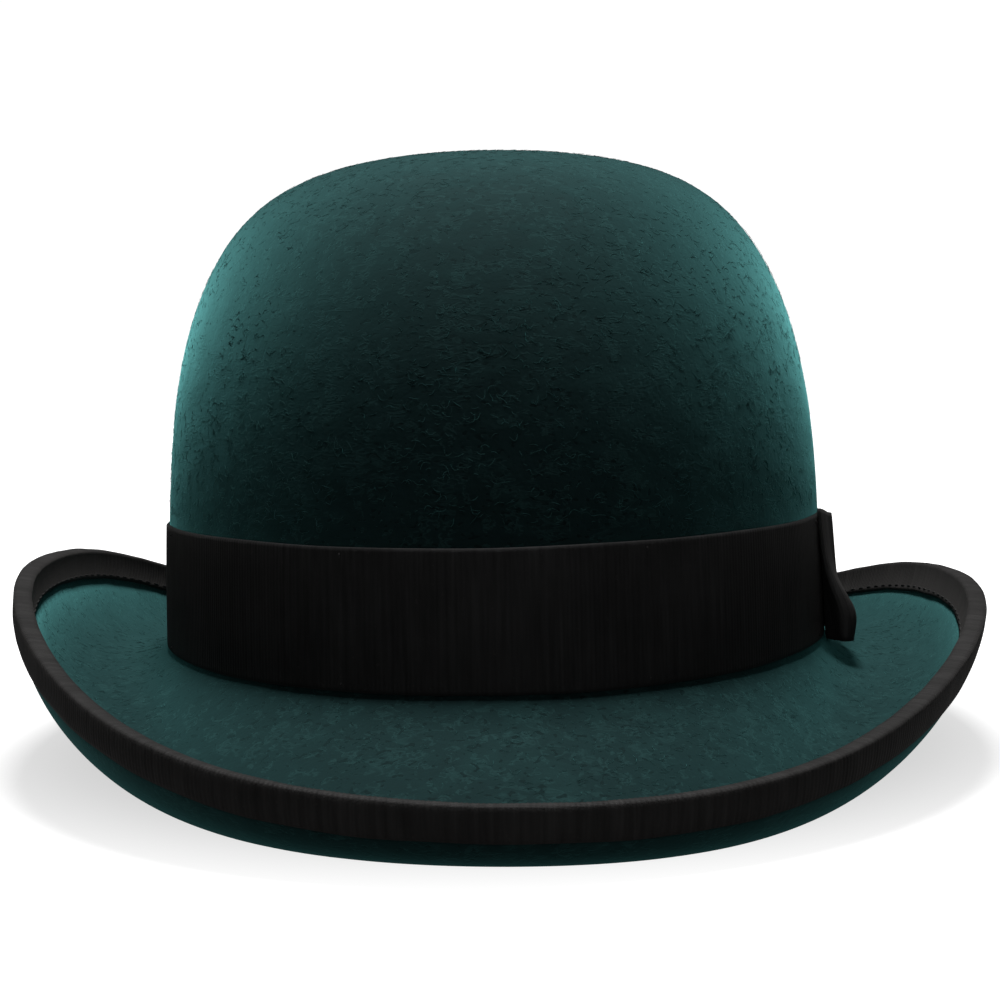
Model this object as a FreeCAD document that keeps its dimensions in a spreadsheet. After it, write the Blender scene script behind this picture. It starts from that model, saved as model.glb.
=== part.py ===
import FreeCAD, Part
import math
import os
import Sketcher

# A bowler hat: blocked wool felt hood, ribbon band with a side bow, bound and curled brim,
# leather sweatband on a reed, and a two piece lining.
# +Z is up, -Y is the front of the hat, +X is the wearer's left (the bow side).
# Z = 0 is the plane the hat stands on.  Lengths are in millimetres, angles in degrees.

V = FreeCAD.Vector
doc = FreeCAD.newDocument("BowlerHat")

DIMENSIONS = (
    # crown
    ("felt_half_width", 85.8),
    ("felt_half_length", 103.2),
    ("felt_thickness", 2.8),
    ("break_height", 26.21),
    ("crown_height", 123.1),
    ("crown_side_power", 3.75),
    ("crown_top_power", 3.14),
    ("crown_taper", 0.4),
    ("crown_taper_height", 35.0),
    # brim: values at the two sides and at the front and back
    ("break_radius", 2.2),
    ("break_sag", 1.9),
    ("brim_width_side", 45.5),
    ("brim_width_front", 63.7),
    ("brim_width_power", 0.84),
    ("brim_slope_side", -39.5),
    ("brim_slope_front", -26.2),
    ("brim_slope_power", 2.6),
    ("curl_end_side", 89.8),
    ("curl_end_front", 95.3),
    ("curl_end_power", 1.05),
    ("curl_radius_side", 21.5),
    ("curl_radius_front", 9.15),
    ("curl_radius_power", 1.35),
    ("brim_ease", 2.0),
    # hand shaping: the wearer's left of the brim is a little flatter than the right
    ("brim_slope_lean", -5.2),
    ("curl_end_lean", -8.0),
    ("brim_width_lean", -0.9),
    # ribbon trims
    ("ribbon_thickness", 0.7),
    ("ribbon_gap", 0.1),
    ("binding_inner_width", 7.4),
    ("binding_outer_width", 5.0),
    ("band_width", 31.2),
    ("band_lift", 0.5),
    # side bow
    ("bow_height", 28.0),
    ("bow_lift", 1.0),
    ("bow_reach", 38.0),
    ("bow_knot_width", 12.0),
    ("bow_root", 3.0),
    ("bow_root_gap", 0.8),
    ("bow_top_gap", 0.4),
    ("bow_top_standoff", -0.5),
    ("bow_bottom_gap", 4.6),
    ("bow_bottom_standoff", 1.6),
    ("bow_tilt", 1.6),
    ("bow_fan_top", 5.9),
    ("bow_fan_bottom", 1.5),
    # sweatband and reed
    ("leather_thickness", 0.9),
    ("leather_gap", 0.7),
    ("sweatband_height", 46.0),
    ("sweatband_lift", 3.4),
    ("reed_radius", 0.9),
    ("reed_lift", 1.5),
    ("reed_tape_thickness", 0.3),
    ("reed_tape_height", 11.0),
    # lining
    ("lining_thickness", 0.35),
    ("lining_gap", 0.2),
    ("lining_start", 14.0),
    ("lining_seam_height", 112.8),
    ("piping_radius", 0.9),
    # small sewn parts
    ("thread_radius", 0.18),
    ("stitch_length", 2.4),
    ("label_width", 15.0),
    ("label_height", 10.0),
    ("label_thickness", 0.3),
    ("inner_bow_width", 18.0),
    ("inner_bow_height", 7.0),
)

AROUND = 48
NODES = []


def make_sheet():
    """Put every driving dimension in a spreadsheet and name its cell."""
    table = doc.addObject("Spreadsheet::Sheet", "Dims")
    for row, (name, value) in enumerate(DIMENSIONS, start=1):
        table.set("A%d" % row, name)
        table.set("B%d" % row, str(value))
        table.setAlias("B%d" % row, name)
    doc.recompute()
    return table


sheet = make_sheet()


def dim(name):
    return float(sheet.get(name))


def keep(obj, name):
    """Name a finished sub-part and list it for export."""
    obj.Label = name
    NODES.append(obj)
    return obj


def shape_feature(name, shape):
    obj = doc.addObject("Part::Feature", name)
    obj.Shape = shape
    return keep(obj, name)


# ---------------------------------------------------------------------------
# The hat's own geometry.  t is the eccentric angle round the oval: 0 is the
# wearer's left, 90 the back, 270 the front.
# ---------------------------------------------------------------------------

def lattice_angles():
    return [2.0 * math.pi * i / AROUND for i in range(AROUND)]


def oval_point(t):
    return V(dim("felt_half_width") * math.cos(t), dim("felt_half_length") * math.sin(t), 0.0)


def oval_normal(t):
    n = V(math.cos(t) / dim("felt_half_width"), math.sin(t) / dim("felt_half_length"), 0.0)
    return n.normalize()


def pole_growth():
    """A cubic spline runs inside its poles; growing an oval by this puts the curve on size."""
    return 3.0 / (2.0 + math.cos(2.0 * math.pi / AROUND))


def side_to_front(side, front, power, t):
    """Blend a value from the sides of the hat to its front and back."""
    return side + (front - side) * (math.sin(t) ** 2) ** power


def brim_value(name, t):
    return side_to_front(dim(name + "_side"), dim(name + "_front"), dim(name + "_power"), t)


def leaning_value(name, t):
    """A brim value with the difference between the wearer's left and right added."""
    return brim_value(name, t) + dim(name + "_lean") * math.cos(t)


def break_z(t):
    """Height of the brim break, which dips a little at the front and back."""
    return dim("break_height") - dim("break_sag") * math.sin(t) ** 2


def crown_point(t, height, offset):
    """Point at a height above the break, moved inwards from the outer face by offset."""
    a = dim("felt_half_width")
    b = dim("felt_half_length")
    total = dim("crown_height")
    side_power = dim("crown_side_power")
    top_power = dim("crown_top_power")
    rise = min(max(height / total, 0.0), 1.0)
    ratio = (1.0 - rise ** top_power) ** (1.0 / side_power)
    lean = dim("crown_taper") / a * min(max(height, 0.0) / dim("crown_taper_height"), 1.0)
    scale = ratio * (1.0 - lean)
    normal = V(
        side_power * ratio ** (side_power - 1.0) * math.cos(t) / a,
        side_power * ratio ** (side_power - 1.0) * math.sin(t) / b,
        top_power * rise ** (top_power - 1.0) / total,
    )
    normal.normalize()
    point = V(a * scale * math.cos(t), b * scale * math.sin(t), dim("break_height") + height)
    return point - normal * offset


class BrimProfile:
    """One radial section of the brim: wall, break fillet, sloping flat and curl."""

    def __init__(self, t):
        self.t = t
        self.curl = math.radians(leaning_value("curl_end", t))
        self.radius = brim_value("curl_radius", t)
        self.width = leaning_value("brim_width", t)
        self.slope = self.wall_slope(math.radians(leaning_value("brim_slope", t)))
        ribbon = dim("ribbon_thickness")
        reach = ribbon + ribbon * math.sin(self.slope)
        drop = ribbon * math.cos(self.slope) + reach * math.tan(self.slope)
        self.corner_z = break_z(t) - drop
        self.fillet = dim("break_radius")
        self.tangent = self.fillet * math.tan((self.slope + math.pi / 2.0) / 2.0)
        self.arc = self.radius * (self.curl - self.slope)
        spare = self.width - self.arc + reach / math.cos(self.slope) - self.tangent
        self.flat = max(spare, 0.0)
        self.turn = self.fillet * (self.slope + math.pi / 2.0)
        self.length = self.turn + self.flat + self.arc

    def wall_slope(self, slope):
        """Where the curl needs the whole width the brim leaves the wall less steeply."""
        missing = self.radius * (self.curl - slope) + dim("break_radius") / 2.0 - self.width
        ease = dim("brim_ease")
        return slope + ease * math.log(1.0 + math.exp(missing / ease)) / self.radius

    def section(self, s):
        """Heading and position (outwards, up) at distance s from the top of the fillet."""
        pieces = (
            (self.turn, 1.0 / self.fillet),
            (self.flat, 0.0),
            (self.arc, 1.0 / self.radius),
        )
        heading = -math.pi / 2.0
        r = 0.0
        z = self.corner_z + self.tangent
        left = s
        for length, bend in pieces:
            step = max(min(left, length), 0.0)
            if bend == 0.0:
                r += math.cos(heading) * step
                z += math.sin(heading) * step
            else:
                after = heading + bend * step
                r += (math.sin(after) - math.sin(heading)) / bend
                z += (math.cos(heading) - math.cos(after)) / bend
                heading = after
            left -= step
        r += math.cos(heading) * left
        z += math.sin(heading) * left
        return heading, r, z

    def point(self, s, offset):
        """Point at distance s, moved through the felt from its upper face by offset."""
        heading, r, z = self.section(s)
        r += math.sin(heading) * offset
        z -= math.cos(heading) * offset
        place = oval_point(self.t) + oval_normal(self.t) * r
        return V(place.x, place.y, z)

    def from_rim(self, distance, offset):
        return self.point(self.length - distance, offset)


def crown_heights():
    """Heights of the lattice rows from just below the apex to just above the break."""
    total = dim("crown_height")
    width = (dim("felt_half_width") + dim("felt_half_length")) / 2.0
    fine = []
    for i in range(401):
        u = math.pi / 2.0 * i / 400.0
        ratio = math.cos(u) ** (2.0 / dim("crown_side_power"))
        rise = math.sin(u) ** (2.0 / dim("crown_top_power"))
        fine.append((width * ratio, total * rise))
    walked = [0.0]
    for before, after in zip(fine, fine[1:]):
        walked.append(walked[-1] + math.dist(before, after))
    rows = 24
    heights = []
    for k in range(rows):
        target = walked[-1] - (walked[-1] - 3.6) * (k + 1.0) / rows
        index = min(range(401), key=lambda i: abs(walked[i] - target))
        heights.append(fine[index][1])
    return heights


def brim_stations(profile):
    """Distances along one brim section, from the wall to the rim, closest at the rim."""
    near = (0.0, 1.25, 2.5, 3.75, 5.0, 6.25, 7.5, 9.0)
    span = profile.length - near[-1] - profile.turn
    stations = [profile.turn * k / 3.0 for k in range(4)]
    rows = 12
    for k in range(rows - 1, 0, -1):
        stations.append(profile.length - near[-1] - span * (k / rows) ** 1.3)
    stations.extend(profile.length - d for d in reversed(near))
    return stations


def hood_rows(offset):
    """Pole columns of one face of the felt hood, from apex to rim, one per angle."""
    columns = []
    apex = V(0.0, 0.0, dim("break_height") + dim("crown_height") - offset)
    heights = crown_heights()
    for t in lattice_angles():
        profile = BrimProfile(t)
        column = [apex]
        column.extend(crown_point(t, h, offset) for h in heights)
        column.extend(profile.point(s, offset) for s in brim_stations(profile))
        columns.append(column)
    return columns


# ---------------------------------------------------------------------------
# Spline surfaces and closed solids from columns of poles
# ---------------------------------------------------------------------------

def grown(columns):
    k = pole_growth()
    return [[V(p.x * k, p.y * k, p.z) for p in column] for column in columns]


def ring_surface(columns):
    """Cubic surface, closed round the hat and clamped along each column."""
    around = len(columns)
    along = len(columns[0])
    surface = Part.BSplineSurface()
    surface.buildFromPolesMultsKnots(
        columns,
        [1] * (around + 1),
        [4] + [1] * (along - 4) + [4],
        list(range(around + 1)),
        list(range(along - 2)),
        True, False, 3, 3,
    )
    return surface.toShape()


def edge_surface(first, second):
    """Ruled strip that closes the gap between two rings of poles."""
    around = len(first)
    surface = Part.BSplineSurface()
    surface.buildFromPolesMultsKnots(
        [[p, q] for p, q in zip(first, second)],
        [1] * (around + 1),
        [2, 2],
        list(range(around + 1)),
        [0, 1],
        True, False, 3, 1,
    )
    return surface.toShape()


def solid_from_faces(faces):
    shell = Part.Compound(faces)
    shell.sewShape()
    solid = Part.Solid(shell.Shells[0])
    if solid.Volume < 0.0:
        solid.reverse()
    return solid


def sheet_solid(outer, inner, closed_top=False):
    """Solid between two faces of the same lattice, open or closed at the first row."""
    outer = grown(outer)
    inner = grown(inner)
    faces = [ring_surface(outer), ring_surface(inner)]
    faces.append(edge_surface([c[-1] for c in outer], [c[-1] for c in inner]))
    if not closed_top:
        faces.append(edge_surface([c[0] for c in outer], [c[0] for c in inner]))
    return solid_from_faces(faces)


def tube_solid(centre, radius):
    """Closed cord of round section; centre(t, across, up) gives points of its section."""
    section = 8
    swell = 3.0 / (2.0 + math.cos(2.0 * math.pi / section))
    columns = []
    for t in lattice_angles():
        column = []
        for j in range(section):
            w = 2.0 * math.pi * j / section
            column.append(centre(t, radius * swell * math.cos(w), radius * swell * math.sin(w)))
        columns.append(column)
    columns = grown(columns)
    surface = Part.BSplineSurface()
    surface.buildFromPolesMultsKnots(
        columns,
        [1] * (AROUND + 1),
        [1] * (section + 1),
        list(range(AROUND + 1)),
        list(range(section + 1)),
        True, True, 3, 3,
    )
    solid = Part.Solid(Part.Shell([surface.toShape()]))
    if solid.Volume < 0.0:
        solid.reverse()
    return solid


def stitch(start, end):
    """One straight thread stitch."""
    run = end - start
    return Part.makeCylinder(dim("thread_radius"), run.Length, start, run)


def stitch_ring(point_at, count):
    """Evenly spaced stitches round the hat; point_at(t) lies on the stitch line."""
    stitches = []
    for i in range(count):
        t = 2.0 * math.pi * (i + 0.5) / count
        middle = point_at(t)
        ahead = point_at(t + 0.001) - point_at(t - 0.001)
        ahead.normalize()
        half = ahead * (dim("stitch_length") / 2.0)
        stitches.append(stitch(middle - half, middle + half))
    return Part.Compound(stitches)


# ---------------------------------------------------------------------------
# Felt, binding and band
# ---------------------------------------------------------------------------

def make_felt_body():
    """One piece of blocked felt: crown and brim."""
    outer = hood_rows(0.0)
    inner = hood_rows(dim("felt_thickness"))
    return shape_feature("felt_body", sheet_solid(outer, inner, closed_top=True))


def binding_section(skin):
    """Distance from the rim and depth for one face of the folded ribbon."""
    felt = dim("felt_thickness")
    inner_width = dim("binding_inner_width")
    outer_width = dim("binding_outer_width")
    steps = 5
    round_off = skin * 0.25
    section = [(inner_width - (inner_width - 1.0) * k / steps, -skin) for k in range(steps + 1)]
    section.append((0.25, -skin))
    section.append((round_off - skin, round_off - skin))
    section.append((-skin, 0.25))
    section.append((-skin, felt / 2.0))
    section.append((-skin, felt - 0.25))
    section.append((round_off - skin, felt + skin - round_off))
    section.append((0.25, felt + skin))
    section.extend((1.0 + (outer_width - 1.0) * k / steps, felt + skin) for k in range(steps + 1))
    return section


def make_brim_binding():
    """Ribbon folded over the brim edge, the same all the way round."""
    gap = dim("ribbon_gap")
    inside = []
    outside = []
    for t in lattice_angles():
        profile = BrimProfile(t)
        inside.append([profile.from_rim(d, o) for d, o in binding_section(gap)])
        outside.append([
            profile.from_rim(d, o) for d, o in binding_section(gap + dim("ribbon_thickness"))
        ])
    return shape_feature("brim_binding", sheet_solid(outside, inside))


def make_binding_stitches():
    lift = dim("ribbon_gap") + dim("ribbon_thickness") + dim("thread_radius") + 0.03

    def line(t):
        return BrimProfile(t).from_rim(dim("binding_inner_width") - 1.0, -lift)

    return shape_feature("binding_stitches", stitch_ring(line, 168))


def wall_strip(low, high, rows, near, far):
    """Strip that stands on the crown wall between two depths below the felt's outer face."""
    outer = []
    inner = []
    for t in lattice_angles():
        base = break_z(t) - dim("break_height")
        heights = [base + low + (high - low) * k / (rows - 1.0) for k in range(rows)]
        outer.append([crown_point(t, h, near) for h in heights])
        inner.append([crown_point(t, h, far) for h in heights])
    return sheet_solid(outer, inner)


def make_hat_band():
    gap = dim("ribbon_gap")
    low = dim("band_lift")
    shape = wall_strip(low, low + dim("band_width"), 7, -gap - dim("ribbon_thickness"), -gap)
    return shape_feature("hat_band", shape)


def make_hat_band_tacks():
    """Short upright tacks that hold the top and bottom edges of the band to the felt."""
    depth = -(dim("ribbon_gap") + dim("ribbon_thickness") + dim("thread_radius") + 0.05)
    tacks = []
    for k in range(8):
        t = math.pi * (k + 0.5) / 4.0
        base = break_z(t) - dim("break_height") + dim("band_lift")
        for height in (base + 1.2, base + dim("band_width") - 2.8):
            tacks.append(stitch(crown_point(t, height, depth), crown_point(t, height + 1.6, depth)))
    return shape_feature("hat_band_tacks", Part.Compound(tacks))


# ---------------------------------------------------------------------------
# Side bow: two flat ribbon loops held by a keeper, on the wearer's left
# ---------------------------------------------------------------------------

def bow_frame():
    """Curvature centre and radius of the band at the wearer's left."""
    outside = dim("ribbon_gap") * 2.0 + dim("ribbon_thickness")
    a = dim("felt_half_width") + outside
    b = dim("felt_half_length") + outside
    radius = b * b / a
    return a - radius, radius


def bow_placement():
    """The bow leans with the band's taper about its top edge, just above the brim break."""
    top = dim("break_height") + dim("bow_lift") + dim("bow_height")
    outside = dim("felt_half_width") + dim("ribbon_gap") + dim("ribbon_thickness")
    pivot = V(outside - dim("crown_taper"), 0.0, top)
    lean = FreeCAD.Rotation(V(0.0, 1.0, 0.0), -dim("bow_tilt"))
    return FreeCAD.Placement(V(-dim("crown_taper"), 0.0, 0.0), lean, pivot)


def beside_band(s, depth):
    """Plan point at distance s along the band from the bow's middle, depth out from it."""
    centre_x, radius = bow_frame()
    angle = s / radius
    return V(centre_x + (radius + depth) * math.cos(angle), (radius + depth) * math.sin(angle), 0.0)


def layer_arcs(side, depth, end_depth):
    """Two arcs of one ribbon face: level under the knot, then on to the loop's end."""
    root = dim("bow_root")
    under = dim("bow_knot_width") / 2.0
    end = loop_end()
    middle = beside_band(side * (under + end) / 2.0, depth + 0.6 * (end_depth - depth))
    return [
        Part.Arc(beside_band(side * root, depth), beside_band(side * (root + under) / 2.0, depth),
                 beside_band(side * under, depth)),
        Part.Arc(beside_band(side * under, depth), middle, beside_band(side * end, end_depth)),
    ]


def loop_end():
    """Distance along the band where the end fold starts."""
    return dim("bow_reach") - dim("bow_bottom_gap") / 2.0 - dim("ribbon_thickness")


def loop_section(name, side, height, lean, standoff, gap):
    """Sketch of a loop's section, leaning from level: a ribbon that runs out, folds, comes back."""
    ribbon = dim("ribbon_thickness")
    near = ribbon + 2.0 * dim("ribbon_gap")
    far = near + ribbon + dim("bow_root_gap")
    root_depths = (near, near + ribbon, far, far + ribbon)
    end = near + standoff
    end_depths = (end, end + ribbon, end + ribbon + gap, end + 2.0 * ribbon + gap)
    faces = [layer_arcs(side, a, b) for a, b in zip(root_depths, end_depths)]
    middle = (end_depths[0] + end_depths[3]) / 2.0
    folds = []
    for first, reach in ((0, gap / 2.0 + ribbon), (1, gap / 2.0)):
        turn = beside_band(side * (loop_end() + reach), middle)
        start = beside_band(side * loop_end(), end_depths[first])
        finish = beside_band(side * loop_end(), end_depths[3 - first])
        folds.append(Part.Arc(start, turn, finish))
    starts = [beside_band(side * dim("bow_root"), depth) for depth in root_depths]
    closings = [Part.LineSegment(starts[0], starts[1]), Part.LineSegment(starts[2], starts[3])]
    sketch = doc.addObject("Sketcher::SketchObject", name)
    for edge in faces[0] + faces[1] + faces[2] + faces[3] + folds + closings:
        sketch.addGeometry(edge, False)
    sketch.Placement = FreeCAD.Placement(
        V(0.0, 0.0, height), FreeCAD.Rotation(V(1.0, 0.0, 0.0), side * lean)
    )
    return sketch


def make_bow_loop(name, side):
    """One loop, gathered at the knot and wider at its fold, which stands open at its foot.

    Its top edge is pressed flat to the band; side is -1 for the front loop."""
    low = dim("break_height") + dim("bow_lift")
    bottom = loop_section(name + "_bottom", side, low, -dim("bow_fan_bottom"),
                          dim("bow_bottom_standoff"), dim("bow_bottom_gap"))
    top = loop_section(name + "_top", side, low + dim("bow_height"), dim("bow_fan_top"),
                       dim("bow_top_standoff"), dim("bow_top_gap"))
    loop = doc.addObject("Part::Loft", name)
    loop.Sections = [bottom, top]
    loop.Solid = True
    loop.Ruled = True
    loop.Placement = bow_placement()
    return keep(loop, name)


def body_plane(body, role):
    return [f for f in body.Origin.OriginFeatures if f.Role == role][0]


def new_sketch(body, name, role):
    sketch = body.newObject("Sketcher::SketchObject", name)
    sketch.AttachmentSupport = (body_plane(body, role), [""])
    sketch.MapMode = "FlatFace"
    return sketch


def add_rectangle(sketch, key, width, height):
    """Centred rectangle whose width and height follow sheet expressions."""
    first = sketch.GeometryCount
    corners = (V(-5.0, -5.0, 0.0), V(5.0, -5.0, 0.0), V(5.0, 5.0, 0.0), V(-5.0, 5.0, 0.0))
    for k in range(4):
        sketch.addGeometry(Part.LineSegment(corners[k], corners[(k + 1) % 4]), False)
    for k in range(4):
        sketch.addConstraint(
            Sketcher.Constraint("Coincident", first + k, 2, first + (k + 1) % 4, 1)
        )
    for k in (0, 2):
        sketch.addConstraint(Sketcher.Constraint("Horizontal", first + k))
        sketch.addConstraint(Sketcher.Constraint("Vertical", first + k + 1))
    sketch.addConstraint(Sketcher.Constraint("Symmetric", first, 1, first + 2, 1, -1, 1))
    for suffix, line, expression in (("_width", 0, width), ("_height", 1, height)):
        index = sketch.addConstraint(Sketcher.Constraint("Distance", first + line, 10.0))
        sketch.renameConstraint(index, key + suffix)
        sketch.setExpression("Constraints." + key + suffix, expression)


def make_bow_knot():
    """Ribbon keeper that wraps both loops at the middle of the bow."""
    name = "bow_knot"
    body = doc.addObject("PartDesign::Body", name)
    sketch = new_sketch(body, name + "_section", "XZ_Plane")
    depth = "(Dims.bow_root_gap + 2 * Dims.ribbon_thickness + 4 * Dims.ribbon_gap)"
    height = "(Dims.bow_height + 4 * Dims.ribbon_gap + Dims.bow_knot_width * sin(Dims.bow_fan_top))"
    add_rectangle(sketch, "inside", depth, height)
    add_rectangle(sketch, "outside", depth + " + 2 * Dims.ribbon_thickness",
                  height + " + 2 * Dims.ribbon_thickness")
    pad = body.newObject("PartDesign::Pad", name + "_pad")
    pad.Profile = sketch
    pad.setExpression("Length", "Dims.bow_knot_width")
    pad.Midplane = True
    body.Tip = pad
    doc.recompute()
    fillet = body.newObject("PartDesign::Fillet", name + "_rounding")
    fillet.Base = (pad, long_outer_edges(pad.Shape))
    fillet.Radius = 0.6
    body.Tip = fillet
    centre_x, band_radius = bow_frame()
    layers = dim("bow_root_gap") + 2.0 * dim("ribbon_thickness")
    middle_x = centre_x + band_radius + dim("ribbon_thickness") + 2.0 * dim("ribbon_gap")
    middle_z = dim("break_height") + dim("bow_lift") + dim("bow_height") / 2.0
    upright = FreeCAD.Placement(
        V(middle_x + layers / 2.0, 0.0, middle_z), FreeCAD.Rotation()
    )
    body.Placement = bow_placement().multiply(upright)
    return keep(body, name)


def long_outer_edges(shape):
    """Names of the four corner edges that run along Y on the outside of the keeper."""
    box = shape.BoundBox
    names = []
    for number, edge in enumerate(shape.Edges, start=1):
        ends = edge.BoundBox
        on_side = min(abs(ends.XMin - box.XMin), abs(ends.XMax - box.XMax)) < 1e-6
        on_end = min(abs(ends.ZMin - box.ZMin), abs(ends.ZMax - box.ZMax)) < 1e-6
        if ends.YLength > box.YLength - 1e-6 and on_side and on_end:
            names.append("Edge%d" % number)
    return names


def make_bow_tacks():
    """Stitches across the lower and upper ends of the keeper that fix the bow."""
    centre_x, band_radius = bow_frame()
    face = centre_x + band_radius + dim("bow_root_gap") + 4.0 * dim("ribbon_thickness")
    face += 4.0 * dim("ribbon_gap") + dim("thread_radius") + 0.05
    low = dim("break_height") + dim("bow_lift") + 3.0
    high = low + dim("bow_height") - 6.0
    lean = bow_placement()
    tacks = []
    for z in (low, high):
        for y in (-3.0, 0.0, 3.0):
            start = lean.multVec(V(face, y - 0.9, z))
            end = lean.multVec(V(face, y + 0.9, z))
            tacks.append(stitch(start, end))
    return shape_feature("bow_tacks", Part.Compound(tacks))


# ---------------------------------------------------------------------------
# Sweatband with its reed, inside the crown
# ---------------------------------------------------------------------------

def leather_depth():
    """Depth of the sweatband's outer face below the felt's outer face."""
    return dim("felt_thickness") + dim("leather_gap")


def inside_point(t, height, depth):
    """Point inside the crown at a height above the local brim break."""
    return crown_point(t, break_z(t) - dim("break_height") + height, depth)


def straight_point(t, height, depth):
    """The same for the foot of the wall, which stays upright below the break."""
    return oval_point(t) - oval_normal(t) * depth + V(0.0, 0.0, break_z(t) + height)


def make_sweatband():
    low = dim("sweatband_lift")
    shape = wall_strip(
        low, low + dim("sweatband_height"), 9,
        leather_depth(), leather_depth() + dim("leather_thickness"),
    )
    return shape_feature("sweatband", shape)


def reed_depth():
    return leather_depth() + dim("leather_thickness") / 2.0


def make_sweatband_reed():
    """Springy reed that keeps the lower edge of the sweatband oval."""
    def section(t, across, up):
        return straight_point(t, dim("reed_lift") + up, reed_depth() + across)

    return shape_feature("sweatband_reed", tube_solid(section, dim("reed_radius")))


def reed_tape_section(radius):
    """Depth and height of one face of the tape, from its sewn flap round under the reed."""
    low = dim("reed_lift")
    centre = reed_depth()
    flap = dim("reed_tape_height")
    section = [(centre - radius, flap - (flap - low - 1.4) * k / 4.0) for k in range(5)]
    for k in range(9):
        w = math.pi * k / 8.0
        swell = radius * 1.03
        section.append((centre - swell * math.cos(w), low - swell * math.sin(w)))
    section.append((centre + radius, low + 0.7))
    section.append((centre + radius, low + 1.3))
    return section


def make_reed_tape():
    """Cloth tape folded round the reed and sewn up behind the sweatband."""
    near = dim("reed_radius") + 0.12
    far = near + dim("reed_tape_thickness")
    inner = []
    outer = []
    for t in lattice_angles():
        inner.append([straight_point(t, h, d) for d, h in reed_tape_section(near)])
        outer.append([straight_point(t, h, d) for d, h in reed_tape_section(far)])
    return shape_feature("reed_tape", sheet_solid(outer, inner))


def make_sweatband_stitches():
    depth = leather_depth() + dim("leather_thickness") + dim("thread_radius") + 0.03

    def line(t):
        return inside_point(t, dim("sweatband_lift") + 1.6, depth)

    return shape_feature("sweatband_stitches", stitch_ring(line, 150))


def make_sweatband_seam_stitches():
    """Zigzag thread over the butt joint at the back of the sweatband."""
    depth = leather_depth() + dim("leather_thickness") + dim("thread_radius") + 0.06
    back = math.pi / 2.0
    swing = 1.5 / dim("felt_half_width")
    steps = 12
    low = dim("sweatband_lift") + 12.0
    rise = (dim("sweatband_height") - 14.0) / steps
    threads = []
    for k in range(steps):
        side = swing if k % 2 else -swing
        start = inside_point(back + side, low + rise * k, depth)
        end = inside_point(back - side, low + rise * (k + 0.72), depth)
        threads.append(stitch(start, end))
    return shape_feature("sweatband_seam_stitches", Part.Compound(threads))


def make_sweatband_bow():
    """Small flat ribbon bow at the back of the sweatband."""
    name = "sweatband_bow"
    body = doc.addObject("PartDesign::Body", name)
    sketch = new_sketch(body, name + "_outline", "XZ_Plane")
    half = dim("inner_bow_width") / 2.0
    tall = dim("inner_bow_height") / 2.0
    waist = tall * 0.35
    outline = (
        V(-half, -tall, 0.0), V(-half * 0.2, -waist, 0.0), V(half * 0.2, -waist, 0.0),
        V(half, -tall, 0.0), V(half, tall, 0.0), V(half * 0.2, waist, 0.0),
        V(-half * 0.2, waist, 0.0), V(-half, tall, 0.0),
    )
    for k in range(8):
        sketch.addGeometry(Part.LineSegment(outline[k], outline[(k + 1) % 8]), False)
    for k in range(8):
        sketch.addConstraint(Sketcher.Constraint("Coincident", k, 2, (k + 1) % 8, 1))
    width = sketch.addConstraint(Sketcher.Constraint("DistanceX", 0, 1, 3, 1, 2.0 * half))
    sketch.renameConstraint(width, "width")
    sketch.setExpression("Constraints.width", "Dims.inner_bow_width")
    height = sketch.addConstraint(Sketcher.Constraint("DistanceY", 3, 1, 3, 2, 2.0 * tall))
    sketch.renameConstraint(height, "height")
    sketch.setExpression("Constraints.height", "Dims.inner_bow_height")
    pad = body.newObject("PartDesign::Pad", name + "_pad")
    pad.Profile = sketch
    pad.setExpression("Length", "Dims.ribbon_thickness")
    body.Tip = pad
    body.Placement = back_wall_placement(dim("sweatband_lift") + 7.0, half)
    return keep(body, name)


def back_wall_placement(height, half_width):
    """Place a flat piece, drawn in XZ with its front towards -Y, on the sweatband's back."""
    depth = leather_depth() + dim("leather_thickness")
    back = math.pi / 2.0
    wall = inside_point(back, height, depth)
    a = dim("felt_half_width") - depth
    b = dim("felt_half_length") - depth
    hollow = half_width * half_width * b / (2.0 * a * a)
    return FreeCAD.Placement(V(0.0, wall.y - hollow - 0.15, wall.z), FreeCAD.Rotation())


def make_size_label():
    """Blank woven tab sewn to the back of the sweatband."""
    name = "size_label"
    body = doc.addObject("PartDesign::Body", name)
    sketch = new_sketch(body, name + "_outline", "XZ_Plane")
    add_rectangle(sketch, "tab", "Dims.label_width", "Dims.label_height")
    pad = body.newObject("PartDesign::Pad", name + "_pad")
    pad.Profile = sketch
    pad.setExpression("Length", "Dims.label_thickness")
    body.Tip = pad
    place = back_wall_placement(dim("sweatband_lift") + 30.0, dim("label_width") / 2.0)
    turn = FreeCAD.Placement(V(0.0, 0.0, 0.0), FreeCAD.Rotation(V(0.0, 0.0, 1.0), -14.0))
    body.Placement = turn.multiply(place)
    return keep(body, name)


# ---------------------------------------------------------------------------
# Lining
# ---------------------------------------------------------------------------

def lining_depth():
    return dim("felt_thickness") + dim("lining_gap")


def make_lining_side():
    """Side band of the lining, from behind the sweatband to the tip seam."""
    near = lining_depth()
    far = near + dim("lining_thickness")
    low = dim("lining_start")
    high = dim("lining_seam_height")
    rows = 20
    heights = [low + (high - low) * (1.0 - (1.0 - k / (rows - 1.0)) ** 1.5) for k in range(rows)]
    outer = [[crown_point(t, h, near) for h in heights] for t in lattice_angles()]
    inner = [[crown_point(t, h, far) for h in heights] for t in lattice_angles()]
    return shape_feature("lining_side", sheet_solid(outer, inner))


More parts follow.
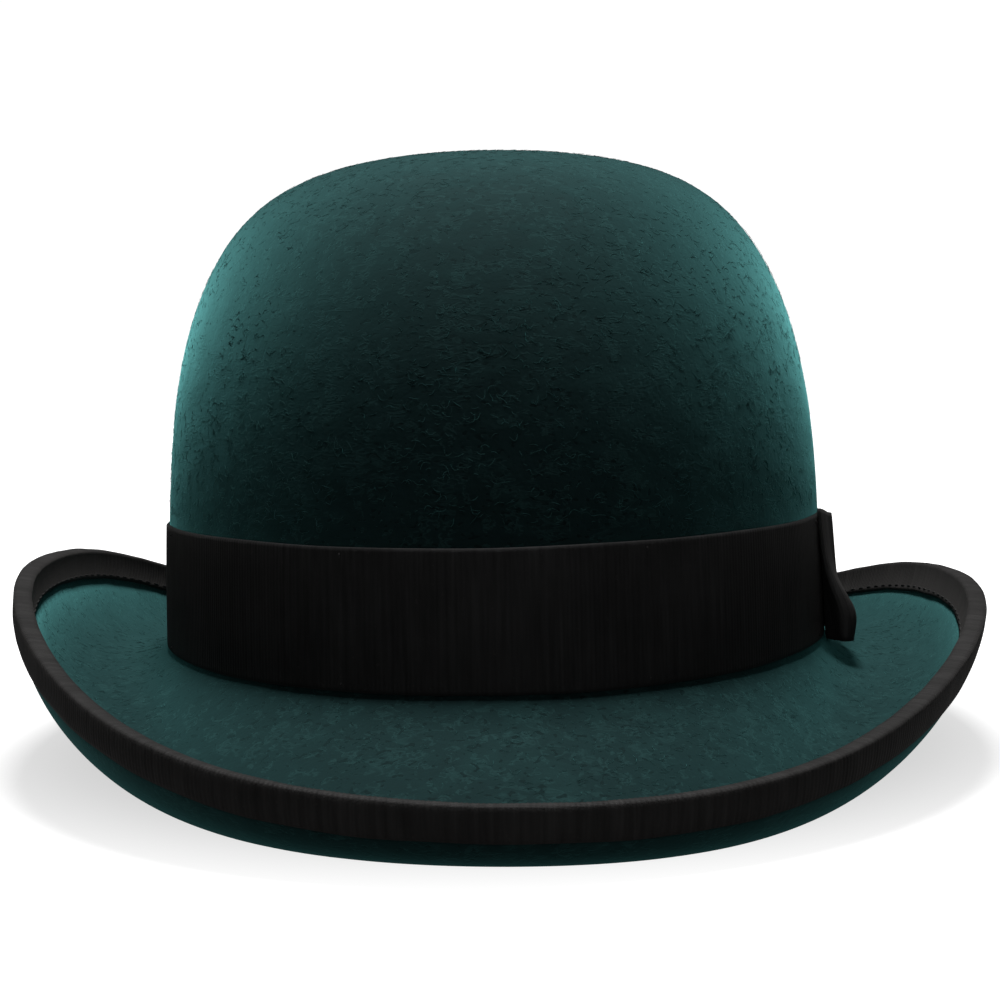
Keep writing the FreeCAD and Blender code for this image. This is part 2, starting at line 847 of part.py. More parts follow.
def make_lining_tip():
    """Oval top panel of the lining."""
    near = lining_depth()
    far = near + dim("lining_thickness")
    top = dim("crown_height")
    low = dim("lining_seam_height") + 1.0
    columns = []
    for depth in (near, far):
        face = []
        for t in lattice_angles():
            column = [V(0.0, 0.0, dim("break_height") + top - depth)]
            for k in range(1, 13):
                drop = (top - low) * (k / 12.0) ** 3.0
                column.append(crown_point(t, top - drop, depth))
            face.append(column)
        columns.append(face)
    shape = sheet_solid(columns[0], columns[1], closed_top=True)
    return shape_feature("lining_tip", shape)


def make_lining_piping():
    """Cord sewn into the seam between the side band and the tip."""
    depth = lining_depth() + dim("lining_thickness") + dim("piping_radius") + 0.12
    height = dim("lining_seam_height") + 0.5

    def section(t, across, up):
        centre = crown_point(t, height, depth)
        outwards = oval_normal(t)
        return centre + outwards * across + V(0.0, 0.0, up)

    return shape_feature("lining_piping", tube_solid(section, dim("piping_radius")))


def make_lining_tacks():
    """Long tacking stitches that hold the lining to the felt above the sweatband."""
    depth = lining_depth() + dim("lining_thickness") + dim("thread_radius") + 0.04
    height = dim("sweatband_height") + dim("sweatband_lift") + 5.0

    def line(t):
        return crown_point(t, height, depth)

    return shape_feature("lining_tacks", stitch_ring(line, 16))


make_felt_body()
make_brim_binding()
make_binding_stitches()
make_hat_band()
make_hat_band_tacks()
make_bow_loop("bow_front_loop", -1)
make_bow_loop("bow_back_loop", 1)
make_bow_knot()
make_bow_tacks()
make_sweatband()
make_sweatband_reed()
make_reed_tape()
make_sweatband_stitches()
make_sweatband_seam_stitches()
make_sweatband_bow()
make_size_label()
make_lining_side()
make_lining_tip()
make_lining_piping()
make_lining_tacks()

doc.recompute()

for item in doc.Objects:
    if "Invalid" in item.State or "Error" in item.State:
        raise RuntimeError(item.Name + " did not recompute")

os.makedirs("parts", exist_ok=True)
for item in NODES:
    if item.Shape.isNull() or not item.Shape.isValid():
        raise RuntimeError(item.Label + " has no valid shape")
    item.Shape.exportStep(os.path.join("parts", item.Label + ".step"))
    box = item.Shape.BoundBox
    print(
        "%-24s solids %3d volume %10.1f z %.2f to %.2f x %.2f to %.2f y %.2f to %.2f" % (
            item.Label, len(item.Shape.Solids), item.Shape.Volume, box.ZMin, box.ZMax,
            box.XMin, box.XMax, box.YMin, box.YMax,
        )
    )
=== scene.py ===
import math

import bpy
import numpy as np
from mathutils import Matrix, Vector, noise


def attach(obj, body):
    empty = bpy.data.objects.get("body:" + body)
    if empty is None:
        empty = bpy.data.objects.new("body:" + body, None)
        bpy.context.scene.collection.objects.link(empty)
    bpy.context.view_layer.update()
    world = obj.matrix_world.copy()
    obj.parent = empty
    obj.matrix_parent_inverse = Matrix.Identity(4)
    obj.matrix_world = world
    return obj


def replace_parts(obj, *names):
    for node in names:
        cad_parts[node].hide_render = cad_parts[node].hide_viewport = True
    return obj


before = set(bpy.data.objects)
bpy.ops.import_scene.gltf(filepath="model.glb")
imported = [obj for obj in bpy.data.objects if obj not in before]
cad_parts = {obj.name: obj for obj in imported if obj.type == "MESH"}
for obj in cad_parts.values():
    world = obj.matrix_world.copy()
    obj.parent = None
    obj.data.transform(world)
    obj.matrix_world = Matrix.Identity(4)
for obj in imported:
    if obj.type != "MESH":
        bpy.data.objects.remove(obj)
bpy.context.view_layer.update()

MM = 0.001
TAU = 2.0 * math.pi
BACK = math.pi / 2.0

# ---------------------------------------------------------------------------
# Dimensions of the hat in millimetres and degrees, the same as the CAD part's.
# t is the eccentric angle round the oval: 0 wearer's left, 90 back, 270 front.
# ---------------------------------------------------------------------------
HALF_WIDTH, HALF_LENGTH = 85.8, 103.2
FELT = 2.8
BREAK_Z = 26.21
CROWN_H = 123.1
SIDE_POWER, TOP_POWER = 3.75, 3.14
TAPER, TAPER_H = 0.4, 35.0
FILLET = 2.2
SAG = 1.9
BRIM = {
    # side, front, power, lean
    "width": (45.5, 63.7, 0.84, -0.9),
    "slope": (-39.5, -26.2, 2.6, -5.2),
    "curl": (89.8, 95.3, 1.05, -8.0),
    "radius": (21.5, 9.15, 1.35, 0.0),
}
BRIM_EASE = 2.0
RIBBON = 0.7
GAP = 0.1
BINDING_IN, BINDING_OUT = 7.4, 5.0
BAND_W, BAND_LIFT = 31.2, 0.5
LEATHER_DEPTH = FELT + 0.7
LEATHER = 0.9
LINING_DEPTH = FELT + 0.2
LINING = 0.35
LINING_SEAM, PIPING_HEIGHT, TIP_EDGE = 112.8, 113.3, 113.8
RIB_PITCH = 1.0
RIB_RELIEF = 0.04
RIB_WAVE = [1.0, 0.15, -1.0, 0.15]
THREAD_RADIUS = 0.17


def turns(n):
    return np.arange(n) * TAU / n


def oval(t):
    return np.stack([HALF_WIDTH * np.cos(t), HALF_LENGTH * np.sin(t), np.zeros_like(t)], -1)


def oval_normal(t):
    n = np.stack([np.cos(t) / HALF_WIDTH, np.sin(t) / HALF_LENGTH, np.zeros_like(t)], -1)
    return n / np.linalg.norm(n, axis=-1, keepdims=True)


def break_z(t):
    """Height of the corner between crown and brim, lower at front and back."""
    return BREAK_Z - SAG * np.sin(t) ** 2


def break_rise(t):
    return break_z(t) - BREAK_Z


def brim_value(name, t):
    side, front, power, lean = BRIM[name]
    return side + (front - side) * (np.sin(t) ** 2) ** power + lean * np.cos(t)


def crown(t, height, depth):
    """Points on the crown at heights above BREAK_Z, depth inwards from the outer face."""
    t, height, depth = np.broadcast_arrays(t, height, depth)
    rise = np.clip(height / CROWN_H, 0.0, 1.0)
    ratio = np.maximum(1.0 - rise ** TOP_POWER, 1e-9) ** (1.0 / SIDE_POWER)
    lean = TAPER / HALF_WIDTH * np.minimum(np.maximum(height, 0.0) / TAPER_H, 1.0)
    scale = ratio * (1.0 - lean)
    c, s = np.cos(t), np.sin(t)
    side = SIDE_POWER * ratio ** (SIDE_POWER - 1.0)
    n = np.stack([
        side * c / HALF_WIDTH,
        side * s / HALF_LENGTH,
        TOP_POWER * rise ** (TOP_POWER - 1.0) / CROWN_H,
    ], -1)
    n = n / np.linalg.norm(n, axis=-1, keepdims=True)
    p = np.stack([HALF_WIDTH * scale * c, HALF_LENGTH * scale * s, BREAK_Z + height], -1)
    return p - n * depth[..., None]


class Brim:
    """Radial sections of the brim at the angles t: wall, fillet, sloping flat and curl."""

    def __init__(self, t):
        self.t = t
        self.curl = np.radians(brim_value("curl", t))
        self.radius = brim_value("radius", t)
        wanted = np.radians(brim_value("slope", t))
        missing = self.radius * (self.curl - wanted) + FILLET / 2.0 - brim_value("width", t)
        self.slope = wanted + BRIM_EASE * np.logaddexp(0.0, missing / BRIM_EASE) / self.radius
        reach = RIBBON + RIBBON * np.sin(self.slope)
        drop = RIBBON * np.cos(self.slope) + reach * np.tan(self.slope)
        self.corner = break_z(t) - drop
        self.tangent = FILLET * np.tan((self.slope + math.pi / 2.0) / 2.0)
        self.arc = self.radius * (self.curl - self.slope)
        self.turn = FILLET * (self.slope + math.pi / 2.0)
        spare = brim_value("width", t) - self.arc + reach / np.cos(self.slope) - self.tangent
        self.flat = np.maximum(spare, 0.0)
        self.length = self.turn + self.flat + self.arc
        self.soft = np.clip(self.flat / 3.0, 0.2, 1.2)

    def heading(self, s):
        """Heading at distances s (len(t), steps) down from the fillet's top, easing into the curl."""
        turn, slope, flat, soft, radius = (
            a[:, None] for a in (self.turn, self.slope, self.flat, self.soft, self.radius))
        start = -math.pi / 2.0 + (slope + math.pi / 2.0) * np.clip(s / turn, 0.0, 1.0)
        bent = soft * np.logaddexp(0.0, (s - turn - flat) / soft)
        before = soft * np.logaddexp(0.0, -flat / soft)
        return start + np.maximum(bent - before, 0.0) / radius

    def points(self, s, depth):
        """s and depth are arrays (len(t), rows); the path is integrated in fine steps."""
        steps = 400
        fine = np.linspace(0.0, 1.0, steps)[None, :] * (self.length + 2.0)[:, None]
        h = self.heading(fine)
        ds = np.diff(fine, axis=1)
        mid = (h[:, 1:] + h[:, :-1]) / 2.0
        zero = np.zeros((len(self.t), 1))
        r = np.concatenate([zero, np.cumsum(np.cos(mid) * ds, 1)], 1)
        z = np.concatenate([zero, np.cumsum(np.sin(mid) * ds, 1)], 1)
        q = np.clip(s / (self.length + 2.0)[:, None] * (steps - 1), 0.0, steps - 1.001)
        i = q.astype(int)
        f = q - i
        rows = np.arange(len(self.t))[:, None]

        def pick(a):
            return a[rows, i] * (1.0 - f) + a[rows, i + 1] * f

        face_h = pick(h)
        face_r = pick(r) + np.sin(face_h) * depth
        face_z = pick(z) + (self.corner + self.tangent)[:, None] - np.cos(face_h) * depth
        base, n = oval(self.t)[:, None, :], oval_normal(self.t)[:, None, :]
        p = base + n * face_r[..., None]
        p[..., 2] = face_z
        return p

    def from_rim(self, d, depth):
        """Points d inwards from the brim's edge, depth under its upper face."""
        return self.points(self.length[:, None] - d, depth)


# ---------------------------------------------------------------------------
# Mesh building
# ---------------------------------------------------------------------------

def new_object(name, verts, faces, material, uv=None):
    """verts in millimetres (n, 3); faces as rows of indices; uv one pair for each face corner."""
    mesh = bpy.data.meshes.new(name)
    mesh.from_pydata((np.asarray(verts, float) * MM).tolist(), [], [tuple(face) for face in faces])
    mesh.update()
    if uv is not None:
        layer = mesh.uv_layers.new(name="UVMap")
        layer.data.foreach_set("uv", np.asarray(uv, np.float32).ravel())
    mesh.polygons.foreach_set("use_smooth", np.full(len(mesh.polygons), True))
    mesh.materials.append(material)
    obj = bpy.data.objects.new(name, mesh)
    bpy.context.scene.collection.objects.link(obj)
    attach(obj, "root")
    return obj


def grid_faces(nu, nv, close_u, close_v):
    """Quads of a grid of nu by nv points; close joins the last row to the first."""
    iu = np.arange(nu if close_u else nu - 1)
    iv = np.arange(nv if close_v else nv - 1)
    a, b = np.meshgrid(iu, iv, indexing="ij")
    a2, b2 = (a + 1) % nu, (b + 1) % nv
    return np.stack([a * nv + b, a * nv + b2, a2 * nv + b2, a2 * nv + b], -1).reshape(-1, 4)


def ring_object(name, p, material, flip=False):
    """Grid (nu, nv, 3) closed both ways, with UVs in metres along both directions."""
    nu, nv = p.shape[:2]
    quads = grid_faces(nu, nv, True, True)
    a, b = quads[:, 0] // nv, quads[:, 0] % nv
    around = np.linalg.norm(np.diff(p, axis=0, append=p[:1]), axis=-1).mean(1)
    along = np.linalg.norm(np.diff(p, axis=1, append=p[:, :1]), axis=-1).mean(0)
    u = np.concatenate([[0.0], np.cumsum(around)]) * MM
    v = np.concatenate([[0.0], np.cumsum(along)]) * MM
    uv = np.stack([
        np.stack([u[a], v[b]], -1), np.stack([u[a], v[b + 1]], -1),
        np.stack([u[a + 1], v[b + 1]], -1), np.stack([u[a + 1], v[b]], -1),
    ], 1)
    if flip:
        quads = quads[:, ::-1]
        uv = uv[:, ::-1]
    return new_object(name, p.reshape(-1, 3), quads, material, uv.reshape(-1, 2))


def closed_strip(name, outer, inner, material, flip=False):
    """Watertight strip round the hat: outer face rows, then the inner face rows back again."""
    return ring_object(name, np.concatenate([outer, inner[:, ::-1]], 1), material, flip)


def dome_object(name, p, material, flip=False, plan_uv=False):
    """Grid closed round the hat, its first and last rows closed by a point in their middle."""
    nu, nv = p.shape[:2]
    verts = np.concatenate([p.reshape(-1, 3), [p[:, 0].mean(0)], [p[:, -1].mean(0)]])
    first, last = nu * nv, nu * nv + 1
    faces = [tuple(q) for q in grid_faces(nu, nv, True, False)]
    for i in range(nu):
        here, there = i * nv, (i + 1) % nu * nv
        faces.append((first, here, there))
        faces.append((last, there + nv - 1, here + nv - 1))
    if flip:
        faces = [face[::-1] for face in faces]
    uv = None
    if plan_uv:
        uv = np.concatenate([verts[list(face), :2] * MM for face in faces])
    return new_object(name, verts, faces, material, uv)


def capped_strip(name, p, steps, material, flip=False):
    """Short flat tube, its section running round the second direction, with both ends closed.

    steps are the distances in millimetres between points along and across, for the UVs."""
    nu, nv = p.shape[:2]
    faces = [tuple(q) for q in grid_faces(nu, nv, False, True)]
    for ring in (list(range(nv)), [(nu - 1) * nv + j for j in reversed(range(nv))]):
        for k in range(nv // 2 - 1):
            faces.append((ring[k], ring[nv - 1 - k], ring[nv - 2 - k], ring[k + 1]))
    if flip:
        faces = [face[::-1] for face in faces]
    along, across = steps
    flat = np.stack([np.repeat(np.arange(nu) * along, nv), np.tile(across, nu)], -1) * MM
    uv = np.array([flat[i] for face in faces for i in face])
    return new_object(name, p.reshape(-1, 3), faces, material, uv)


def thread_object(name, paths, radius, material, sides=6):
    """Round pieces of thread along short polylines, thinner at both ends."""
    verts, faces = [], []
    for path in paths:
        path = np.asarray(path, float)
        n = len(path)
        tangent = np.gradient(path, axis=0)
        tangent /= np.linalg.norm(tangent, axis=1, keepdims=True) + 1e-12
        up = np.array([0.0, 0.0, 1.0])
        if abs(tangent[n // 2] @ up) > 0.8:
            up = np.array([1.0, 0.0, 0.0])
        e1 = np.cross(tangent, up)
        e1 /= np.linalg.norm(e1, axis=1, keepdims=True) + 1e-12
        e2 = np.cross(tangent, e1)
        base = len(verts)
        for k in range(n):
            grow = 0.45 if k in (0, n - 1) else 1.0
            for j in range(sides):
                w = TAU * j / sides
                verts.append(path[k] + radius * grow * (e1[k] * math.cos(w) + e2[k] * math.sin(w)))
        for k in range(n - 1):
            for j in range(sides):
                a = base + k * sides + j
                b = base + k * sides + (j + 1) % sides
                faces.append((a, b, b + sides, a + sides))
        faces.append(tuple(base + j for j in reversed(range(sides))))
        faces.append(tuple(base + (n - 1) * sides + j for j in range(sides)))
    return new_object(name, np.array(verts), faces, material)


# ---------------------------------------------------------------------------
# Materials
# ---------------------------------------------------------------------------

class Nodes:
    """Small helper round a material's node tree."""

    def __init__(self, name):
        self.material = bpy.data.materials.new(name)
        self.material.use_nodes = True
        self.tree = self.material.node_tree
        self.shader = self.tree.nodes["Principled BSDF"]

    def add(self, kind, **values):
        node = self.tree.nodes.new(kind)
        for key, value in values.items():
            setattr(node, key, value)
        return node

    def link(self, a, b):
        self.tree.links.new(a, b)

    def setting(self, **values):
        """Constants on the shader's own sockets."""
        for key, value in values.items():
            self.shader.inputs[key.replace("_", " ")].default_value = value

    def place(self, source="Object", scale=(1.0, 1.0, 1.0)):
        """Texture coordinates of the object or its UV map, stretched by scale."""
        coordinate = self.add("ShaderNodeTexCoord")
        mapping = self.add("ShaderNodeMapping")
        mapping.inputs["Scale"].default_value = scale
        self.link(coordinate.outputs[source], mapping.inputs["Vector"])
        return mapping.outputs["Vector"]

    def noise(self, vector, scale, detail=3.0, rough=0.55, distort=0.0):
        node = self.add("ShaderNodeTexNoise")
        node.inputs["Scale"].default_value = scale
        node.inputs["Detail"].default_value = detail
        node.inputs["Roughness"].default_value = rough
        node.inputs["Distortion"].default_value = distort
        self.link(vector, node.inputs["Vector"])
        return node.outputs["Fac"]

    def maths(self, kind, a, b=None, clamp=False):
        node = self.add("ShaderNodeMath", operation=kind, use_clamp=clamp)
        for slot_index, value in enumerate((a, b)):
            if value is None:
                continue
            if isinstance(value, (int, float)):
                node.inputs[slot_index].default_value = value
            else:
                self.link(value, node.inputs[slot_index])
        return node.outputs[0]

    def ridge(self, value, sharp):
        """Bright thin curly lines where the noise crosses its middle."""
        away = self.maths("ABSOLUTE", self.maths("SUBTRACT", value, 0.5))
        line = self.maths("SUBTRACT", 1.0, self.maths("MULTIPLY", away, sharp), clamp=True)
        return self.maths("POWER", line, 2.0)

    def ramp(self, value, stops):
        node = self.add("ShaderNodeValToRGB")
        ramp = node.color_ramp
        while len(ramp.elements) < len(stops):
            ramp.elements.new(0.5)
        for element, (at, colour) in zip(ramp.elements, stops):
            element.position = at
            element.color = (*colour, 1.0)
        self.link(value, node.inputs["Fac"])
        return node.outputs["Color"]

    def mix(self, factor, a, b):
        node = self.add("ShaderNodeMix", data_type="RGBA")
        sockets = [s for s in node.inputs if s.type == "RGBA"]
        for socket, value in ((node.inputs[0], factor), (sockets[0], a), (sockets[1], b)):
            if isinstance(value, tuple):
                socket.default_value = (*value, 1.0)
            elif isinstance(value, (int, float)):
                socket.default_value = value
            else:
                self.link(value, socket)
        return [s for s in node.outputs if s.type == "RGBA"][0]

    def bump(self, height, distance, strength=1.0, under=None):
        node = self.add("ShaderNodeBump")
        node.inputs["Strength"].default_value = strength
        node.inputs["Distance"].default_value = distance
        self.link(height, node.inputs["Height"])
        if under is not None:
            self.link(under, node.inputs["Normal"])
        return node.outputs["Normal"]

    def finish(self, colour, rough, normal):
        self.link(colour, self.shader.inputs["Base Color"])
        self.link(rough, self.shader.inputs["Roughness"])
        self.link(normal, self.shader.inputs["Normal"])
        return self.material


WOOL_SHEEN = {"Sheen_Roughness": 0.46, "Sheen_Tint": (0.17, 0.60, 0.59, 1.0),
              "Specular_IOR_Level": 0.04}


def felt_material():
    """Brushed wool felt: short curly fibres, mostly lying level round the crown.

    Pale curls and longer wisps show in patches, with sparse pits between them that are darkened by painted
    shade."""
    m = Nodes("wool_felt")
    level = m.place("Object", (1.0, 1.0, 1.8))
    even = m.place()
    brushed = m.place("Object", (1.0, 1.0, 3.2))
    broad = m.noise(even, 28.0, 2.0)
    cloud = m.noise(level, 110.0, 4.0, 0.6, 0.4)
    fuzz = m.noise(even, 900.0, 2.0, 0.6)
    curl = m.ridge(m.noise(level, 420.0, 1.5, 0.5, 1.0), 8.0)
    patch = m.maths("GREATER_THAN", m.noise(even, 300.0, 1.0), 0.58)
    wisp = m.maths("MULTIPLY", m.ridge(m.noise(brushed, 150.0, 2.0, 0.55, 1.3), 10.0),
                   m.maths("GREATER_THAN", m.noise(even, 130.0, 2.0), 0.56))
    curls = m.maths("MAXIMUM", m.maths("MULTIPLY", curl, patch), m.maths("MULTIPLY", wisp, 0.7))
    shown = m.maths("MULTIPLY", curls, 0.30)
    shaded_pits = m.maths("LESS_THAN", m.noise(level, 640.0, 0.0), 0.30)
    tone = m.maths("ADD", m.maths("MULTIPLY", broad, 0.35), m.maths("MULTIPLY", cloud, 0.65))
    base = m.ramp(tone, [(0.30, (0.0017, 0.0053, 0.0056)), (0.52, (0.0023, 0.0067, 0.0071)),
                         (0.72, (0.0040, 0.0114, 0.0115))])
    fleck = m.mix(shown, base, (0.013, 0.036, 0.035))
    # painted shade: the pits are darkened in colour as well as sunk in the bump
    colour = m.mix(m.maths("MULTIPLY", shaded_pits, 0.85), fleck, (0.0008, 0.0022, 0.0025))
    rough = m.maths("ADD", m.maths("MULTIPLY", cloud, 0.15), 0.80)
    coarse = m.bump(cloud, 0.00025, 0.4)
    relief = m.maths("ADD", fuzz, m.maths("SUBTRACT", m.maths("MULTIPLY", curls, 0.6), shaded_pits))
    fine = m.bump(relief, 0.00010, 0.5, coarse)
    m.setting(Sheen_Weight=0.37, **WOOL_SHEEN)
    return m.finish(colour, rough, fine)


def ribbon_material(name, tint, sheen):
    """Black grosgrain; the ribs are in the mesh, the warp and lustre are here.

    U of the UV map runs along the ribbon and V across it, both in metres."""
    m = Nodes(name)
    rib = m.noise(m.place("UV", (900.0, 40.0, 1.0)), 1.0, 2.0)
    warp_wave = m.add("ShaderNodeTexWave", bands_direction="Y")
    warp_wave.inputs["Scale"].default_value = 1.0
    warp_wave.inputs["Distortion"].default_value = 0.4
    m.link(m.place("UV", (1.0, 1500.0, 1.0)), warp_wave.inputs["Vector"])
    warp = warp_wave.outputs["Fac"]
    worn = m.noise(m.place(), 75.0, 4.0, 0.6)
    lint = m.maths("GREATER_THAN", m.noise(m.place(), 900.0, 1.0), 0.74)
    dark = tuple(0.45 * c for c in tint)
    light = tuple(1.9 * c for c in tint)
    tone = m.maths("ADD", m.maths("MULTIPLY", rib, 0.6), m.maths("MULTIPLY", worn, 0.4))
    base = m.ramp(tone, [(0.25, dark), (0.5, tint), (0.8, light)])
    colour = m.mix(m.maths("MULTIPLY", lint, 0.30), base, (0.022, 0.021, 0.020))
    rough = m.maths("ADD", m.maths("MULTIPLY", worn, 0.25), 0.48)
    weave = m.bump(warp, 0.00005, 0.5)
    normal = m.bump(rib, 0.00008, 0.5, weave)
    m.setting(Sheen_Weight=sheen, Sheen_Roughness=0.5, Sheen_Tint=(0.9, 0.86, 0.82, 1.0),
              Specular_IOR_Level=0.06)
    return m.finish(colour, rough, normal)


def thread_material(name, colour_rgb, sheen):
    """Twisted sewing thread."""
    m = Nodes(name)
    twist = m.add("ShaderNodeTexWave", bands_direction="DIAGONAL")
    twist.inputs["Scale"].default_value = 1.0
    m.link(m.place("Object", (2600.0, 2600.0, 2600.0)), twist.inputs["Vector"])
    shade = m.noise(m.place(), 500.0, 2.0)
    dark = tuple(0.6 * c for c in colour_rgb)
    colour = m.mix(m.maths("MULTIPLY", twist.outputs["Fac"], 0.6), colour_rgb, dark)
    rough = m.maths("ADD", m.maths("MULTIPLY", shade, 0.2), 0.5)
    m.setting(Sheen_Weight=sheen, Specular_IOR_Level=0.15)
    return m.finish(colour, rough, m.bump(twist.outputs["Fac"], 0.00005, 0.6))


def nap_material():
    """Single wool fibres, each a little lighter or darker than the felt."""
    m = Nodes("nap_fibre")
    shade = m.noise(m.place(), 260.0, 2.0)
    colour = m.ramp(shade, [(0.35, (0.0018, 0.0056, 0.0060)), (0.65, (0.0085, 0.0270, 0.0262))])
    rough = m.maths("ADD", m.maths("MULTIPLY", shade, 0.15), 0.80)
    m.setting(Sheen_Weight=0.25, **WOOL_SHEEN)
    return m.finish(colour, rough, m.bump(shade, 0.00002, 0.3))


def leather_material():
    """Smooth sweatband leather with a fine pebble grain, darker where it creases: painted shade in the
    creases.
    """
    m = Nodes("sweatband_leather")
    spot = m.place()
    cells = m.add("ShaderNodeTexVoronoi", feature="DISTANCE_TO_EDGE")
    cells.inputs["Scale"].default_value = 900.0
    m.link(spot, cells.inputs["Vector"])
    grain = m.maths("MINIMUM", m.maths("MULTIPLY", cells.outputs["Distance"], 6.0), 1.0)
    mottle = m.noise(spot, 60.0, 4.0, 0.6)
    pores = m.maths("LESS_THAN", m.noise(spot, 1500.0, 1.0), 0.30)
    base = m.ramp(mottle, [(0.3, (0.070, 0.030, 0.014)), (0.55, (0.120, 0.055, 0.026)),
                           (0.8, (0.165, 0.080, 0.040))])
    # painted shade: colour darkens towards the edges of the grain cells, its creases
    crease_shaded_colour = m.mix(m.maths("MULTIPLY", m.maths("SUBTRACT", 1.0, grain), 0.45), base,
                    (0.045, 0.020, 0.010))
    colour = m.mix(m.maths("MULTIPLY", pores, 0.5), crease_shaded_colour, (0.03, 0.013, 0.007))
    rough = m.maths("ADD", m.maths("MULTIPLY", mottle, 0.25), 0.34)
    normal = m.bump(grain, 0.00008, 0.7)
    m.setting(Specular_IOR_Level=0.45)
    return m.finish(colour, rough, normal)


def satin_material():
    """Black satin: fine warp floats along V, soft lustre, and broad lighter and darker patches painted as
    the light and shade of its drape.
    """
    m = Nodes("lining_satin")
    floats = m.noise(m.place("UV", (5200.0, 500.0, 1.0)), 1.0, 2.0)
    drape_light_and_shade = m.noise(m.place(), 38.0, 2.0)
    # painted light and shade: broad lighter and darker patches stand in for the drape's folds
    base = m.ramp(drape_light_and_shade, [(0.3, (0.006, 0.008, 0.010)), (0.7, (0.016, 0.020, 0.024))])
    colour = m.mix(m.maths("MULTIPLY", floats, 0.35), base, (0.030, 0.036, 0.042))
    rough = m.maths("ADD", m.maths("MULTIPLY", floats, 0.18), 0.24)
    m.setting(Specular_IOR_Level=0.6, Sheen_Weight=0.15)
    return m.finish(colour, rough, m.bump(floats, 0.00004, 0.5))


def woven_material(name, light, dark, scale):
    """Plain weave tape or label."""
    m = Nodes(name)
    across = m.add("ShaderNodeTexWave", bands_direction="X")
    along = m.add("ShaderNodeTexWave", bands_direction="Y")
    for wave in (across, along):
        wave.inputs["Scale"].default_value = 1.0
        m.link(m.place("UV", (scale, scale, scale)), wave.inputs["Vector"])
    weave = m.maths("MULTIPLY", across.outputs["Fac"], along.outputs["Fac"])
    mottle = m.noise(m.place(), 300.0, 3.0)
    shade = m.maths("ADD", m.maths("MULTIPLY", weave, 0.7), m.maths("MULTIPLY", mottle, 0.3))
    colour = m.ramp(shade, [(0.1, dark), (0.8, light)])
    rough = m.maths("ADD", m.maths("MULTIPLY", mottle, 0.15), 0.75)
    m.setting(Sheen_Weight=0.25)
    return m.finish(colour, rough, m.bump(weave, 0.0001, 0.6))


def reed_material():
    """Pale reed with long grain lines."""
    m = Nodes("reed_grain")
    grain = m.noise(m.place("Object", (1.0, 1.0, 12.0)), 220.0, 3.0)
    colour = m.ramp(grain, [(0.3, (0.36, 0.30, 0.19)), (0.7, (0.60, 0.53, 0.38))])
    rough = m.maths("ADD", m.maths("MULTIPLY", grain, 0.2), 0.3)
    return m.finish(colour, rough, m.bump(grain, 0.00005, 0.5))


def floor_material():
    """Mid grey table that glows to the camera, more so away from the hat, to meet the backdrop; the dimmer
    glow near the hat is a painted shadow.
    """
    near, far = 0.09, 0.22
    # painted shadow: the glow is weaker close to the hat, standing in for its shadow on the floor
    painted_shadow_glow, far_glow = 0.60, 1.3
    lit_share = 0.02
    m = Nodes("studio_floor")
    speck = m.noise(m.place(), 6.0, 3.0)
    colour = m.ramp(speck, [(0.3, (0.11, 0.11, 0.11)), (0.7, (0.13, 0.13, 0.13))])
    rough = m.maths("ADD", m.maths("MULTIPLY", speck, 0.05), 0.85)
    away = m.add("ShaderNodeVectorMath", operation="LENGTH")
    m.link(m.place(), away.inputs[0])
    glow = m.add("ShaderNodeMapRange", interpolation_type="SMOOTHSTEP")
    m.link(away.outputs["Value"], glow.inputs["Value"])
    reach = {"From Min": near, "From Max": far, "To Min": painted_shadow_glow, "To Max": far_glow}
    for socket, value in reach.items():
        glow.inputs[socket].default_value = value
    seen = m.add("ShaderNodeLightPath").outputs["Is Camera Ray"]
    share = m.maths("ADD", m.maths("MULTIPLY", seen, 1.0 - lit_share), lit_share)
    m.link(m.maths("MULTIPLY", glow.outputs[0], share), m.shader.inputs["Emission Strength"])
    m.setting(Emission_Color=(1.0, 1.0, 1.0, 1.0))
    return m.finish(colour, rough, m.bump(speck, 0.0002, 0.1))


FELT_CLOTH = felt_material()
GROSGRAIN = ribbon_material("band_grosgrain", (0.0092, 0.0092, 0.0093), 0.02)
BINDING_CLOTH = ribbon_material("binding_grosgrain", (0.0106, 0.0102, 0.0101), 0.02)
BLACK_THREAD = thread_material("black_thread", (0.0085, 0.0083, 0.0082), 0.0)
NAP_FIBRE = nap_material()
TAN_THREAD = thread_material("tan_thread", (0.30, 0.19, 0.10), 0.2)
SWEAT_LEATHER = leather_material()
SATIN = satin_material()
TAPE_CLOTH = woven_material("reed_tape_weave", (0.022, 0.022, 0.024), (0.007, 0.007, 0.008), 1500.0)
LABEL_CLOTH = woven_material("label_weave", (0.62, 0.59, 0.52), (0.34, 0.32, 0.28), 1800.0)
REED = reed_material()

# ---------------------------------------------------------------------------
# Felt hood
# ---------------------------------------------------------------------------

def crown_rows(count, low):
    """Heights above BREAK_Z, evenly spaced along the crown's outline, top to bottom."""
    ratio_a = np.linspace(0.0, 0.9, 1500)
    rise_a = (1.0 - ratio_a ** SIDE_POWER) ** (1.0 / TOP_POWER)
    rise_b = np.linspace(rise_a[-1], 0.0, 1500)[1:]
    ratio_b = (1.0 - rise_b ** TOP_POWER) ** (1.0 / SIDE_POWER)
    width = (HALF_WIDTH + HALF_LENGTH) / 2.0
    line = np.stack([width * np.concatenate([ratio_a, ratio_b]),
                     CROWN_H * np.concatenate([rise_a, rise_b])], -1)
    walked = np.concatenate([[0.0], np.cumsum(np.linalg.norm(np.diff(line, axis=0), axis=1))])
    last = np.interp(-low, -line[:, 1], walked)
    return np.interp(np.linspace(1.2, last, count), walked, line[:, 1])


